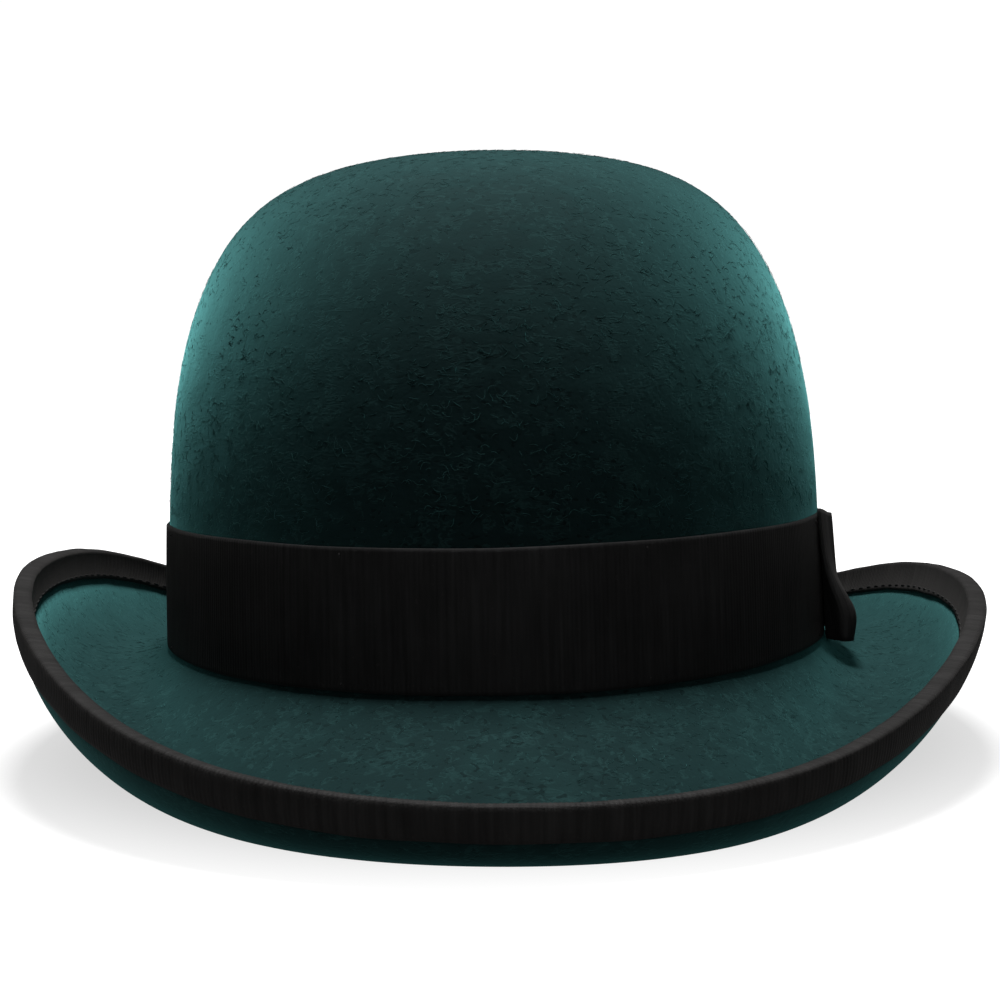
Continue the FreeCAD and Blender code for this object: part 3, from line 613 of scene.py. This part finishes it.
def grid_normals(p):
    """Unit normals of a grid closed round the hat."""
    around = np.roll(p, -1, 0) - np.roll(p, 1, 0)
    n = np.cross(np.gradient(p, axis=1), around)
    return n / (np.linalg.norm(n, axis=-1, keepdims=True) + 1e-12)


def undulate(p, amount, scale, seed):
    """Move a grid along its normals by smooth noise; scale is the wave size in millimetres."""
    flat = p.reshape(-1, 3) / scale
    wave = np.array([noise.noise(Vector((x + seed, y, z))) for x, y, z in flat])
    return p + grid_normals(p) * (wave.reshape(p.shape[:2]) * amount)[..., None]


def make_felt_hood():
    """Crown and brim in one closed skin: outer face, thin edge, inner face."""
    t = turns(384)
    brim = Brim(t)
    brim_steps = np.linspace(0.0, 1.0, 60)[None, :] * brim.length[:, None]
    heights = crown_rows(96, 3.4)[None, :]

    def face(depth):
        return np.concatenate([crown(t[:, None], heights, depth), brim.points(brim_steps, depth)], 1)

    outer = undulate(face(0.0), 0.22, 34.0, 3.1)
    outer = undulate(outer, 0.07, 6.0, 9.7)
    inner = face(FELT)
    outwards = outer[:, -1:] - outer[:, -2:-1]
    edge_round = 0.05 * outwards / np.linalg.norm(outwards, axis=-1, keepdims=True)
    rim = (outer[:, -1:] + inner[:, -1:]) / 2.0 + edge_round
    hood = np.concatenate([outer, rim, inner[:, ::-1]], 1)
    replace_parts(dome_object("felt_hood", hood, FELT_CLOTH), "felt_body")


def nap_strokes(rng, count):
    """Random fibres: position along each one from 0 to 1, how far it runs level and up, its lift."""
    u = np.linspace(0.0, 1.0, 5)[None, :]
    length = rng.uniform(0.9, 2.8, (count, 1))
    lean = rng.normal(0.0, 0.55, (count, 1))
    curl = rng.normal(0.0, 0.25, (count, 1)) * np.sin(math.pi * u)
    level = length * (u * np.cos(lean) - curl * np.sin(lean))
    rise = length * (u * np.sin(lean) + curl * np.cos(lean))
    lift = 0.02 + rng.uniform(0.02, 0.16, (count, 1)) * u ** 2
    return level, rise, lift


def crown_nap(rng, count):
    """Fibres (count, 5, 3) spread evenly over the crown above the band."""
    samples = 400
    rows = crown_rows(samples, BAND_W + 3.0)
    line = crown(0.0, rows, 0.0)
    spacing = np.linalg.norm(line[0] - line[1])
    half_width = line[:, 0]
    longer_than_wide = 6.0
    share = np.cumsum(half_width) / half_width.sum()
    index = np.arange(float(samples))
    level, rise, lift = nap_strokes(rng, count)
    at = np.interp(rng.uniform(0.0, 1.0, (count, 1)), share, index)
    radius = np.interp(at, index, half_width + longer_than_wide)
    t = rng.uniform(0.0, TAU, (count, 1)) + level / radius
    return crown(t, np.interp(at - rise / spacing, index, rows), -lift)


def brim_nap(rng, count):
    """Fibres (count, 5, 3) on the brim between the band's foot and the binding."""
    mean_radius = 125.0
    near, far = FILLET + 3.0, BINDING_IN + 4.0
    level, rise, lift = nap_strokes(rng, count)
    t = rng.uniform(0.0, TAU, (count, 1)) + level / mean_radius
    brim = Brim(t.ravel())
    free = brim.length.reshape(t.shape) - near - far
    s = near + rng.uniform(0.0, 1.0, (count, 1)) * free + np.clip(rise, -2.5, 2.5)
    return brim.points(s.reshape(-1, 1), -lift.reshape(-1, 1)).reshape(count, -1, 3)


def make_nap():
    """Loose wool fibres that lie on the crown and on the upper face of the brim."""
    rng = np.random.RandomState(11)
    fibres = list(crown_nap(rng, 9000)) + list(brim_nap(rng, 4500))
    thread_object("felt_nap", fibres, 0.035, NAP_FIBRE, 3)


# ---------------------------------------------------------------------------
# Ribbons: ribs are real relief, RIB_PITCH apart
# ---------------------------------------------------------------------------

def rib_angles(curve):
    """Angles evenly spaced by length along the closed curve(t), and the wave of the ribs there."""
    t = np.linspace(0.0, TAU, 4001)
    walked = np.concatenate([[0.0], np.cumsum(np.linalg.norm(np.diff(curve(t), axis=0), axis=1))])
    ribs = int(round(walked[-1] / RIB_PITCH))
    count = ribs * len(RIB_WAVE)
    return np.interp(np.arange(count) * walked[-1] / count, walked, t), np.tile(RIB_WAVE, ribs)


def binding_section(skin):
    """Ribbon wrapped round the brim's edge, skin off the felt: distances from the edge and depths."""
    corner = 0.25 * skin
    over, under = 8, 7
    d = [BINDING_IN - (BINDING_IN - 0.9) * k / (over - 1.0) for k in range(over)]
    depth = [-skin] * over
    d += [0.3, -corner, corner - skin, -skin, -skin, -skin, corner - skin, -corner, 0.3]
    depth += [-skin, -skin, corner - skin, 0.35, FELT / 2.0, FELT - 0.35]
    depth += [FELT + skin - corner, FELT + skin, FELT + skin]
    d += [0.9 + (BINDING_OUT - 0.9) * k / (under - 1.0) for k in range(under)]
    depth += [FELT + skin] * under
    return np.array(d), np.array(depth), over, under


def make_binding():
    """Ribbon folded over the brim edge, its ribs square to the edge."""
    def rim(t):
        return Brim(t).from_rim(np.zeros((len(t), 1)), np.full((len(t), 1), FELT / 2.0))[:, 0]

    t, wave = rib_angles(rim)
    brim = Brim(t)
    lap = 0.25 * np.sin(3.0 * t + 0.6) + 0.15 * np.sin(11.0 * t) + 0.08 * np.sin(37.0 * t)

    def face(skin):
        section, depth, over, under = binding_section(skin)
        d = np.tile(section, (len(t), 1))
        d[:, :over] += lap[:, None] * np.linspace(1.0, 0.0, over)[None, :]
        d[:, -under:] += 0.8 * lap[::-1][:, None] * np.linspace(0.0, 1.0, under)[None, :]
        return brim.from_rim(d, depth[None, :])

    outer = face(GAP + RIBBON - 0.02)
    n = grid_normals(outer)
    inner = face(0.06)
    outwards = np.sign((n[:, 4] * (outer[:, 4] - inner[:, 4])).sum(-1).mean())
    edge = np.ones(outer.shape[1])
    edge[0] = edge[-1] = 0.2
    outer = outer + outwards * n * (wave[:, None] * edge[None, :] * RIB_RELIEF)[..., None]
    outer = undulate(outer, 0.12, 9.0, 4.2)
    piece = closed_strip("brim_binding_ribbon", outer, inner, BINDING_CLOTH)
    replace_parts(piece, "brim_binding")


def make_binding_stitches():
    count, half_length, mean_radius = 168, 1.75, 142.0
    steps = np.linspace(-1.0, 1.0, 7)
    lift = -(GAP + RIBBON + 0.10) + 0.42 * np.abs(steps) ** 4
    paths = []
    for k in range(count):
        t = TAU * (k + 0.5) / count + steps * (half_length / mean_radius)
        p = Brim(t).from_rim(np.full((len(t), 1), BINDING_IN - 1.0), lift[:, None])
        paths.append(p[:, 0])
    piece = thread_object("binding_thread", paths, THREAD_RADIUS, BLACK_THREAD)
    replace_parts(piece, "binding_stitches")


def band_height(t, v):
    """Height above BREAK_Z at v of the band's width, with the slight wave of its edges."""
    drift = 0.18 * np.sin(5.0 * t + 1.0) + 0.1 * np.sin(13.0 * t)
    return break_rise(t) + BAND_LIFT + BAND_W * v + drift * (v - 0.5)


def make_band():
    """Ribbon round the crown's foot, its ribs upright."""
    def foot(t):
        return crown(t, 15.0, -0.5)

    t, wave = rib_angles(foot)
    rows = np.concatenate([[0.0, 0.012, 0.03], np.linspace(0.06, 0.94, 15), [0.97, 0.988, 1.0]])
    selvedge = np.clip(np.minimum(rows, 1.0 - rows) / 0.012, 0.0, 1.0)[None, :]
    uneven = np.array([noise.noise(Vector((math.cos(x) * 9.0, math.sin(x) * 9.0, 1.3))) for x in t])
    thick = (GAP + RIBBON - 0.10) * (0.55 + 0.45 * selvedge)
    ribs = wave[:, None] * RIB_RELIEF * (0.3 + 0.7 * selvedge)
    outer = crown(t[:, None], band_height(t[:, None], rows[None, :]),
                  -(thick + ribs + 0.10 * uneven[:, None]))
    inner = crown(t[:, None], band_height(t[:, None], np.linspace(0.0, 1.0, 6)[None, :]), -0.04)
    piece = closed_strip("crown_band_ribbon", outer, inner, GROSGRAIN)
    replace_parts(piece, "hat_band")


def make_band_tacks():
    count, reach = 8, 0.028
    steps = np.linspace(-1.0, 1.0, 5)
    depth = -(GAP + RIBBON + 0.12) + 0.35 * np.abs(steps) ** 4
    paths = []
    for k in range(count):
        t = TAU * (k + 0.5) / count
        for v in (0.035, 0.93):
            paths.append(crown(t, band_height(t, v + reach * (steps + 1.0) / 2.0), depth))
    piece = thread_object("crown_band_thread", paths, THREAD_RADIUS, BLACK_THREAD)
    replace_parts(piece, "hat_band_tacks")


# ---------------------------------------------------------------------------
# Side bow on the wearer's left: two flat loops that fan out from a keeper
# ---------------------------------------------------------------------------
BOW_LOW, BOW_H, BOW_REACH = 1.0, 28.0, 38.8
BOW_ROOT = 3.0
BOW_FAN_TOP, BOW_FAN_BOTTOM = 3.9, 1.0
LOOP_ROOT, LOOP_GAP = 0.80, 1.0
KNOT_BACK, KNOT_FRONT = 0.34, 2.45
LOOP_RIBS = 99


def bow_point(s, v, d):
    """s along the crown from the knot, v up the bow, d out from the band's face."""
    t = s / HALF_LENGTH
    fan = (np.abs(s) / BOW_REACH) ** 1.2
    height = BOW_LOW + BOW_H * v + fan * (BOW_FAN_TOP * v - BOW_FAN_BOTTOM * (1.0 - v))
    return crown(t, height, -(d + GAP + RIBBON))


def smooth_path(points, count):
    """Catmull-Rom curve through 2D points, with count samples evenly spaced along it."""
    p = np.array(points, float)
    p = np.concatenate([[2.0 * p[0] - p[1]], p, [2.0 * p[-1] - p[-2]]])
    u = np.linspace(0.0, 1.0, 40, endpoint=False)[:, None]
    parts = []
    for k in range(1, len(p) - 2):
        before, start, end, after = p[k - 1:k + 3]
        parts.append(0.5 * (2.0 * start + (end - before) * u
                            + (2.0 * before - 5.0 * start + 4.0 * end - after) * u ** 2
                            + (3.0 * start - before - 3.0 * end + after) * u ** 3))
    fine = np.concatenate(parts + [[p[-2]]])
    walked = np.concatenate([[0.0], np.cumsum(np.linalg.norm(np.diff(fine, axis=0), axis=1))])
    at = np.linspace(0.0, walked[-1], count)
    return np.stack([np.interp(at, walked, fine[:, k]) for k in range(2)], -1)


def loop_path(v, count, fullness):
    """Plan of one loop at v of its height: along the band, out to the fold and back.

    The bow is pressed flat at its upper edge and stands away from the band below."""
    low = 1.0 - v
    out = 0.3 + 4.2 * low ** 2.1
    gap = 0.5 + 1.2 * low + 3.7 * fullness * math.exp(-((low - 0.78) / 0.22) ** 2)
    end = BOW_REACH
    return smooth_path([
        (BOW_ROOT, LOOP_ROOT), (7.0, LOOP_ROOT), (16.0, 0.75), (end - 14.0, 0.55),
        (end - 7.0, 0.5 + 0.08 * out), (end - 3.6, 0.4 + 0.30 * out),
        (end - 1.3 - 0.15 * gap, 0.2 + 0.85 * out), (end, out + 0.42 * gap),
        (end - 1.0 - 0.2 * gap, out + gap), (end - 6.0, 0.9 * (out + gap) + 0.3),
        (end - 15.0, 0.62 * (out + gap) + 0.9 + 0.3 * low), (16.0, LOOP_ROOT + LOOP_GAP + 0.9 + low),
        (7.0, LOOP_ROOT + LOOP_GAP + 0.15), (BOW_ROOT, LOOP_ROOT + LOOP_GAP),
    ], count)


def make_loop(name, node, side, fullness):
    """One loop of ribbed ribbon, folded at its end; side is -1 for the front."""
    per_rib = len(RIB_WAVE)
    count = per_rib * LOOP_RIBS + 1
    rows = np.linspace(0.0, 1.0, 29)
    paths = np.array([loop_path(v, count, fullness) for v in rows])
    along = np.gradient(paths, axis=1)
    normal = np.stack([along[..., 1], -along[..., 0]], -1)
    normal /= np.linalg.norm(normal, axis=-1, keepdims=True)
    ripple = np.cos(TAU * np.arange(count) / per_rib)[None, :, None] * RIB_RELIEF
    vv = np.tile(rows[:, None], (1, count))
    selvedge = np.clip(np.minimum(vv, 1.0 - vv) / 0.03, 0.25, 1.0)[..., None]
    skins = []
    for face in (1.0, -1.0):
        q = paths + normal * face * (0.24 + 0.06 * selvedge + ripple * selvedge)
        p = bow_point(side * q[..., 0], vv, q[..., 1])
        skins.append(np.transpose(p, (1, 0, 2)))
    loop = np.concatenate([skins[0], skins[1][:, ::-1]], 1)
    mean_height = BOW_H + 0.5 * (BOW_FAN_TOP + BOW_FAN_BOTTOM)
    across = np.concatenate([rows, rows[::-1]]) * mean_height
    piece = capped_strip(name, loop, (RIB_PITCH / per_rib, across), GROSGRAIN, side > 0)
    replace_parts(piece, node)


def knot_rim(around):
    """Where the keeper runs: v up the bow, and 1 at its front layer, 0 at its back layer."""
    ends = 8.0
    straight = BOW_H / (2.0 * BOW_H + ends)
    turn = 0.5 - straight
    w = np.arange(around) / around
    half = w % 0.5
    on_side = half < straight
    swing = np.clip((half - straight) / turn, 0.0, 1.0) * math.pi
    v = np.where(on_side, half / straight, 1.0 + 0.024 * np.sin(swing))
    mix = np.where(on_side, 1.0, 0.5 + 0.5 * np.cos(swing))
    back = w >= 0.5
    return np.where(back, 1.0 - v, v), np.where(back, 1.0 - mix, mix)


def make_knot():
    """Keeper ribbon round the middle; its ribs run across, level."""
    per_rib, half_width = 4, 6.0
    around = 80 * per_rib
    wide = np.linspace(-half_width, half_width, 17)[None, :]
    v, mix = (a[:, None] for a in knot_rim(around))
    facing = 2.0 * mix - 1.0
    ripple = RIB_RELIEF * np.cos(TAU * np.arange(around) / per_rib)[:, None]
    pinch = 0.30 * (np.abs(wide) / half_width) ** 3 * mix
    skins = []
    for skin, relief in ((0.62, 1.0), (0.06, 0.0)):
        d = KNOT_BACK + (KNOT_FRONT - KNOT_BACK) * mix + facing * (skin * 0.6 + relief * ripple) - pinch
        up = 0.5 + (v - 0.5) * (1.026 + skin * 0.022)
        skins.append(bow_point(wide, up, np.maximum(d, 0.03)))
    piece = closed_strip("bow_keeper_ribbon", skins[0], skins[1], GROSGRAIN)
    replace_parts(piece, "bow_knot")


def make_bow_tacks():
    steps = np.linspace(-1.0, 1.0, 5)
    out = KNOT_FRONT + 0.50 - 0.3 * np.abs(steps) ** 4
    paths = []
    for v in (0.08, 0.92):
        for s in (-3.0, 0.0, 3.0):
            paths.append(bow_point(s + 0.9 * steps, v, out))
    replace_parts(thread_object("bow_thread", paths, 0.16, BLACK_THREAD), "bow_tacks")


# ---------------------------------------------------------------------------
# Inside: sweatband, reed, lining
# ---------------------------------------------------------------------------

def make_sweatband():
    """Leather band, thinned at both edges and easing a little off the felt."""
    t = turns(420)[:, None]
    low, high = 3.4, 49.4
    rows = np.linspace(0.0, 1.0, 30)[None, :]
    height = break_rise(t) + low + (high - low) * rows
    ease = 0.22 * np.sin(7.0 * t + 0.4) * rows ** 2 + 0.12 * np.sin(19.0 * t) * rows ** 3
    thinned = 1.0 - np.clip(np.minimum(rows, 1.0 - rows) / 0.02, 0.0, 1.0)
    outer = crown(t, height, LEATHER_DEPTH + 0.05 * thinned)
    inner = crown(t, height, LEATHER_DEPTH + LEATHER - 0.30 * thinned + ease * 0.5)
    inner = undulate(inner, 0.10, 14.0, 2.0)
    piece = closed_strip("sweatband_leather", inner, outer, SWEAT_LEATHER, True)
    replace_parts(piece, "sweatband")


def wall_thread(name, node, count, half_length, place, material):
    """Level stitches round the inside of the crown; place(t) gives their height and depth."""
    mean_radius = 92.0
    steps = np.linspace(-1.0, 1.0, 5)
    paths = []
    for k in range(count):
        t = TAU * (k + 0.5) / count + steps * half_length / mean_radius
        height, depth = place(t)
        paths.append(crown(t, height, depth - 0.25 * np.abs(steps) ** 4))
    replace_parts(thread_object(name, paths, THREAD_RADIUS, material, 5), node)


def make_sweatband_stitches():
    wall_thread("sweatband_thread", "sweatband_stitches", 150, 1.3,
                lambda t: (break_rise(t) + 5.0, LEATHER_DEPTH + LEATHER + 0.12),
                TAN_THREAD)


def make_lining_tacks():
    wall_thread("lining_thread", "lining_tacks", 16, 2.2,
                lambda t: (54.4, LINING_DEPTH + LINING + 0.25),
                BLACK_THREAD)


def make_seam_zigzag():
    """Zigzag over the sweatband's butt joint at the back."""
    strokes, half_width, low, tall = 12, 1.5, 15.4, 32.0
    u = np.linspace(0.0, 1.0, 6)
    depth = LEATHER_DEPTH + LEATHER + 0.16 - 0.2 * np.abs(2.0 * u - 1.0) ** 5
    paths = []
    for k in range(strokes):
        side = half_width if k % 2 else -half_width
        t = BACK + side * (1.0 - 2.0 * u) / HALF_WIDTH
        paths.append(crown(t, break_rise(t) + low + tall / strokes * (k + 0.8 * u), depth))
    piece = thread_object("sweatband_seam_thread", paths, THREAD_RADIUS, TAN_THREAD)
    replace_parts(piece, "sweatband_seam_stitches")


def back_patch(x, z, depth):
    """Point on the inside of the sweatband's back at x across and z above the break."""
    t = BACK - np.arcsin(np.clip(x / (HALF_WIDTH - depth), -1.0, 1.0))
    return crown(t, break_rise(t) + z, depth)


def make_label():
    """Blank woven tab beside the sweatband's joint."""
    wide, tall, pitch = 15.0, 10.0, 0.5
    across, above = 23.0, 33.4
    x = np.linspace(-wide / 2.0, wide / 2.0, 31)
    z = np.linspace(-tall / 2.0, tall / 2.0, 21)
    xx, zz = np.meshgrid(x, z, indexing="ij")
    puff = 0.12 * (1.0 - (2.0 * xx / wide) ** 4) * (1.0 - (2.0 * zz / tall) ** 4)
    base = LEATHER_DEPTH + LEATHER + 0.22
    front = back_patch(across + xx, above + zz, base + 0.30 + puff)
    rear = back_patch(across + xx, above + zz, base + puff)
    both = np.concatenate([front, rear[:, ::-1]], 1)
    steps = (pitch, np.arange(both.shape[1]) * pitch)
    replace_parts(capped_strip("blank_size_label", both, steps, LABEL_CLOTH), "size_label")


def make_inner_bow():
    """Small flat ribbon bow at the foot of the sweatband's joint, and its keeper."""
    half_length, half_keeper, above = 9.0, 1.3, 10.4
    x = np.linspace(-half_length, half_length, 49)
    v = np.linspace(-1.0, 1.0, 25)
    xx, vv = np.meshgrid(x, v, indexing="ij")
    out = np.abs(xx)
    tall = 3.5 * (0.38 + 0.62 * np.clip(out / 7.0, 0.0, 1.0) ** 0.7)
    bulge = 0.45 * np.sin(np.clip(out / half_length, 0.0, 1.0) * math.pi) * (1.0 - 0.5 * vv ** 2)
    crease = 0.12 * np.cos(vv * 9.0) * np.exp(-(out / 3.0) ** 2)
    base = LEATHER_DEPTH + LEATHER + 0.18
    front = back_patch(xx, above + tall * vv, base + 0.75 + bulge + crease)
    rear = back_patch(xx, above + tall * vv, base)
    both = np.concatenate([front, rear[:, ::-1]], 1)
    steps = (0.375, np.arange(both.shape[1]) * 0.28)
    bow = capped_strip("small_inner_bow", both, steps, GROSGRAIN)
    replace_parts(bow, "sweatband_bow")
    ww, aa = np.meshgrid(turns(28), np.linspace(-half_keeper, half_keeper, 9), indexing="ij")
    radius = 1.0 - 0.12 * (aa / half_keeper) ** 2
    centre = base + 0.62
    ring = back_patch(aa, above + 1.75 * radius * np.cos(ww), centre + 0.62 * radius * np.sin(ww))
    hole = back_patch(aa, above + 1.35 * np.cos(ww), centre + 0.30 * np.sin(ww))
    closed_strip("small_inner_bow_keeper", ring, hole, GROSGRAIN)


def make_reed_tape():
    """Tape that runs down behind the sweatband and folds round the reed."""
    t = turns(300)
    centre = LEATHER_DEPTH + LEATHER / 2.0
    lift, flap = 1.5, 11.0
    fold = np.linspace(0.0, math.pi, 17)
    skins = []
    for radius in (1.32, 1.02):
        depth = np.concatenate([[centre - radius] * 10, centre - radius * np.cos(fold),
                                [centre + radius] * 2])
        height = np.concatenate([np.linspace(flap, lift + 0.6, 10), lift - radius * np.sin(fold),
                                 [lift + 0.7, lift + 1.3]])
        p = oval(t)[:, None, :] - oval_normal(t)[:, None, :] * depth[None, :, None]
        p[..., 2] = break_z(t)[:, None] + height[None, :]
        skins.append(p)
    piece = closed_strip("reed_tape_cloth", skins[0], skins[1], TAPE_CLOTH, True)
    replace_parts(piece, "reed_tape")


def make_lining_side():
    """Side of the lining, with shallow pleats that deepen towards the seam."""
    t = turns(480)[:, None]
    rows = np.concatenate([np.linspace(14.0, 60.0, 24), crown_rows(60, 60.0)[::-1]])
    rows = np.unique(np.round(rows[rows < LINING_SEAM], 4))
    rows = np.append(rows, LINING_SEAM)[None, :]
    pleat = 0.16 * np.abs(np.sin(24.0 * t)) ** 6 * np.clip((rows - 50.0) / 50.0, 0.0, 1.0)
    pleat = pleat + 0.10 * np.sin(5.0 * t + 1.2) * np.sin(rows / 17.0)
    outer = crown(t, rows, LINING_DEPTH + 0.12 + 0.4 * pleat)
    inner = crown(t, rows, LINING_DEPTH + LINING + 0.12 + pleat)
    side = closed_strip("lining_side_satin", inner, outer, SATIN, True)
    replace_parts(side, "lining_side")


def make_lining_tip():
    """Oval panel across the top of the lining, slightly puckered at its edge."""
    t = turns(240)[:, None]
    rows = crown_rows(260, TIP_EDGE)
    rows = rows[rows >= TIP_EDGE][::2][None, :]
    puff = 0.25 * np.cos(9.0 * t) * np.clip((CROWN_H - rows) / 8.0, 0.0, 1.0) ** 2
    near = crown(t, rows, LINING_DEPTH + 0.1)
    far = crown(t, rows, LINING_DEPTH + LINING + 0.1 + 0.3 * np.abs(puff))
    panel = np.concatenate([far, near[:, ::-1]], 1)
    tip = dome_object("lining_tip_satin", panel, SATIN, flip=True, plan_uv=True)
    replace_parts(tip, "lining_tip")


def make_lining_piping():
    """Satin-covered cord in the seam between side and tip; its faint spiral is the bias cut."""
    tt, ww = np.meshgrid(turns(1200), turns(12), indexing="ij")
    radius = 0.86 + 0.05 * np.cos(2.0 * (ww + tt * 130.0))
    centre = crown(tt, PIPING_HEIGHT, LINING_DEPTH + LINING + 1.05)
    p = centre + oval_normal(tt) * (radius * np.cos(ww))[..., None]
    p[..., 2] += radius * np.sin(ww)
    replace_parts(ring_object("lining_piping_cord", p, SATIN), "lining_piping")


# ---------------------------------------------------------------------------
# Build
# ---------------------------------------------------------------------------
make_felt_hood()
make_nap()
make_binding()
make_binding_stitches()
make_band()
make_band_tacks()
make_loop("bow_front_loop_ribbon", "bow_front_loop", -1.0, 1.0)
make_loop("bow_back_loop_ribbon", "bow_back_loop", 1.0, 0.75)
make_knot()
make_bow_tacks()
make_sweatband()
make_reed_tape()
make_sweatband_stitches()
make_seam_zigzag()
make_label()
make_inner_bow()
make_lining_side()
make_lining_tip()
make_lining_piping()
make_lining_tacks()

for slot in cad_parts["sweatband_reed"].material_slots:
    slot.material = REED

# ---------------------------------------------------------------------------
# Studio
# ---------------------------------------------------------------------------

def make_floor():
    """Just below the resting plane, clear of the felt's unevenness."""
    bpy.ops.mesh.primitive_circle_add(vertices=96, radius=30.0, fill_type="NGON", location=(0, 0, -0.0003))
    floor = bpy.context.object
    floor.name = "studio_floor"
    floor.data.materials.append(floor_material())


def make_world():
    """White backdrop to the eye; it lights the hat much less than it shows."""
    world = bpy.data.worlds.new("studio")
    bpy.context.scene.world = world
    world.use_nodes = True
    tree = world.node_tree
    seen = tree.nodes.new("ShaderNodeLightPath")
    strength = tree.nodes.new("ShaderNodeMapRange")
    strength.inputs["To Min"].default_value = 0.06
    strength.inputs["To Max"].default_value = 1.05
    tree.links.new(seen.outputs["Is Camera Ray"], strength.inputs["Value"])
    tree.links.new(strength.outputs[0], tree.nodes["Background"].inputs["Strength"])
    tree.nodes["Background"].inputs["Color"].default_value = (1.0, 1.0, 1.0, 1.0)


def area_light(name, place, target, size, power):
    light = bpy.data.lights.new(name, "AREA")
    light.shape = "RECTANGLE"
    light.size, light.size_y = size
    light.energy = power
    lamp = bpy.data.objects.new(name, light)
    lamp.location = place
    lamp.rotation_euler = (Vector(target) - Vector(place)).to_track_quat("-Z", "Y").to_euler()
    bpy.context.scene.collection.objects.link(lamp)


def make_camera():
    """In front of the hat, a little above the brim, looking slightly down."""
    focal_widths, distance, height = 1.7096, 0.460, 0.0573
    look_down, roll = 0.049, 0.020
    camera = bpy.data.cameras.new("camera")
    camera.sensor_width = 36.0
    camera.lens = focal_widths * camera.sensor_width
    camera.shift_x = 0.0041
    camera.clip_start = 0.01
    rig = bpy.data.objects.new("camera", camera)
    lift = Matrix.Translation((0.0, 0.0, BREAK_Z * MM))
    stand = Matrix.Translation((0.0, -distance, height))
    look = Matrix.Rotation(math.pi / 2.0 - look_down, 4, "X")
    rig.matrix_world = lift @ Matrix.Rotation(roll, 4, "Y") @ stand @ look
    bpy.context.scene.collection.objects.link(rig)
    bpy.context.scene.camera = rig


make_floor()
make_world()
area_light("top_softbox", (0.0, 0.0, 1.2), (0.0, 0.0, 0.1), (0.30, 0.30), 36.0)
area_light("front_softbox", (0.0, -1.2, 0.35), (0.0, 0.0, 0.08), (0.7, 0.5), 2.2)
make_camera()
bpy.context.scene.view_settings.view_transform = "Standard"
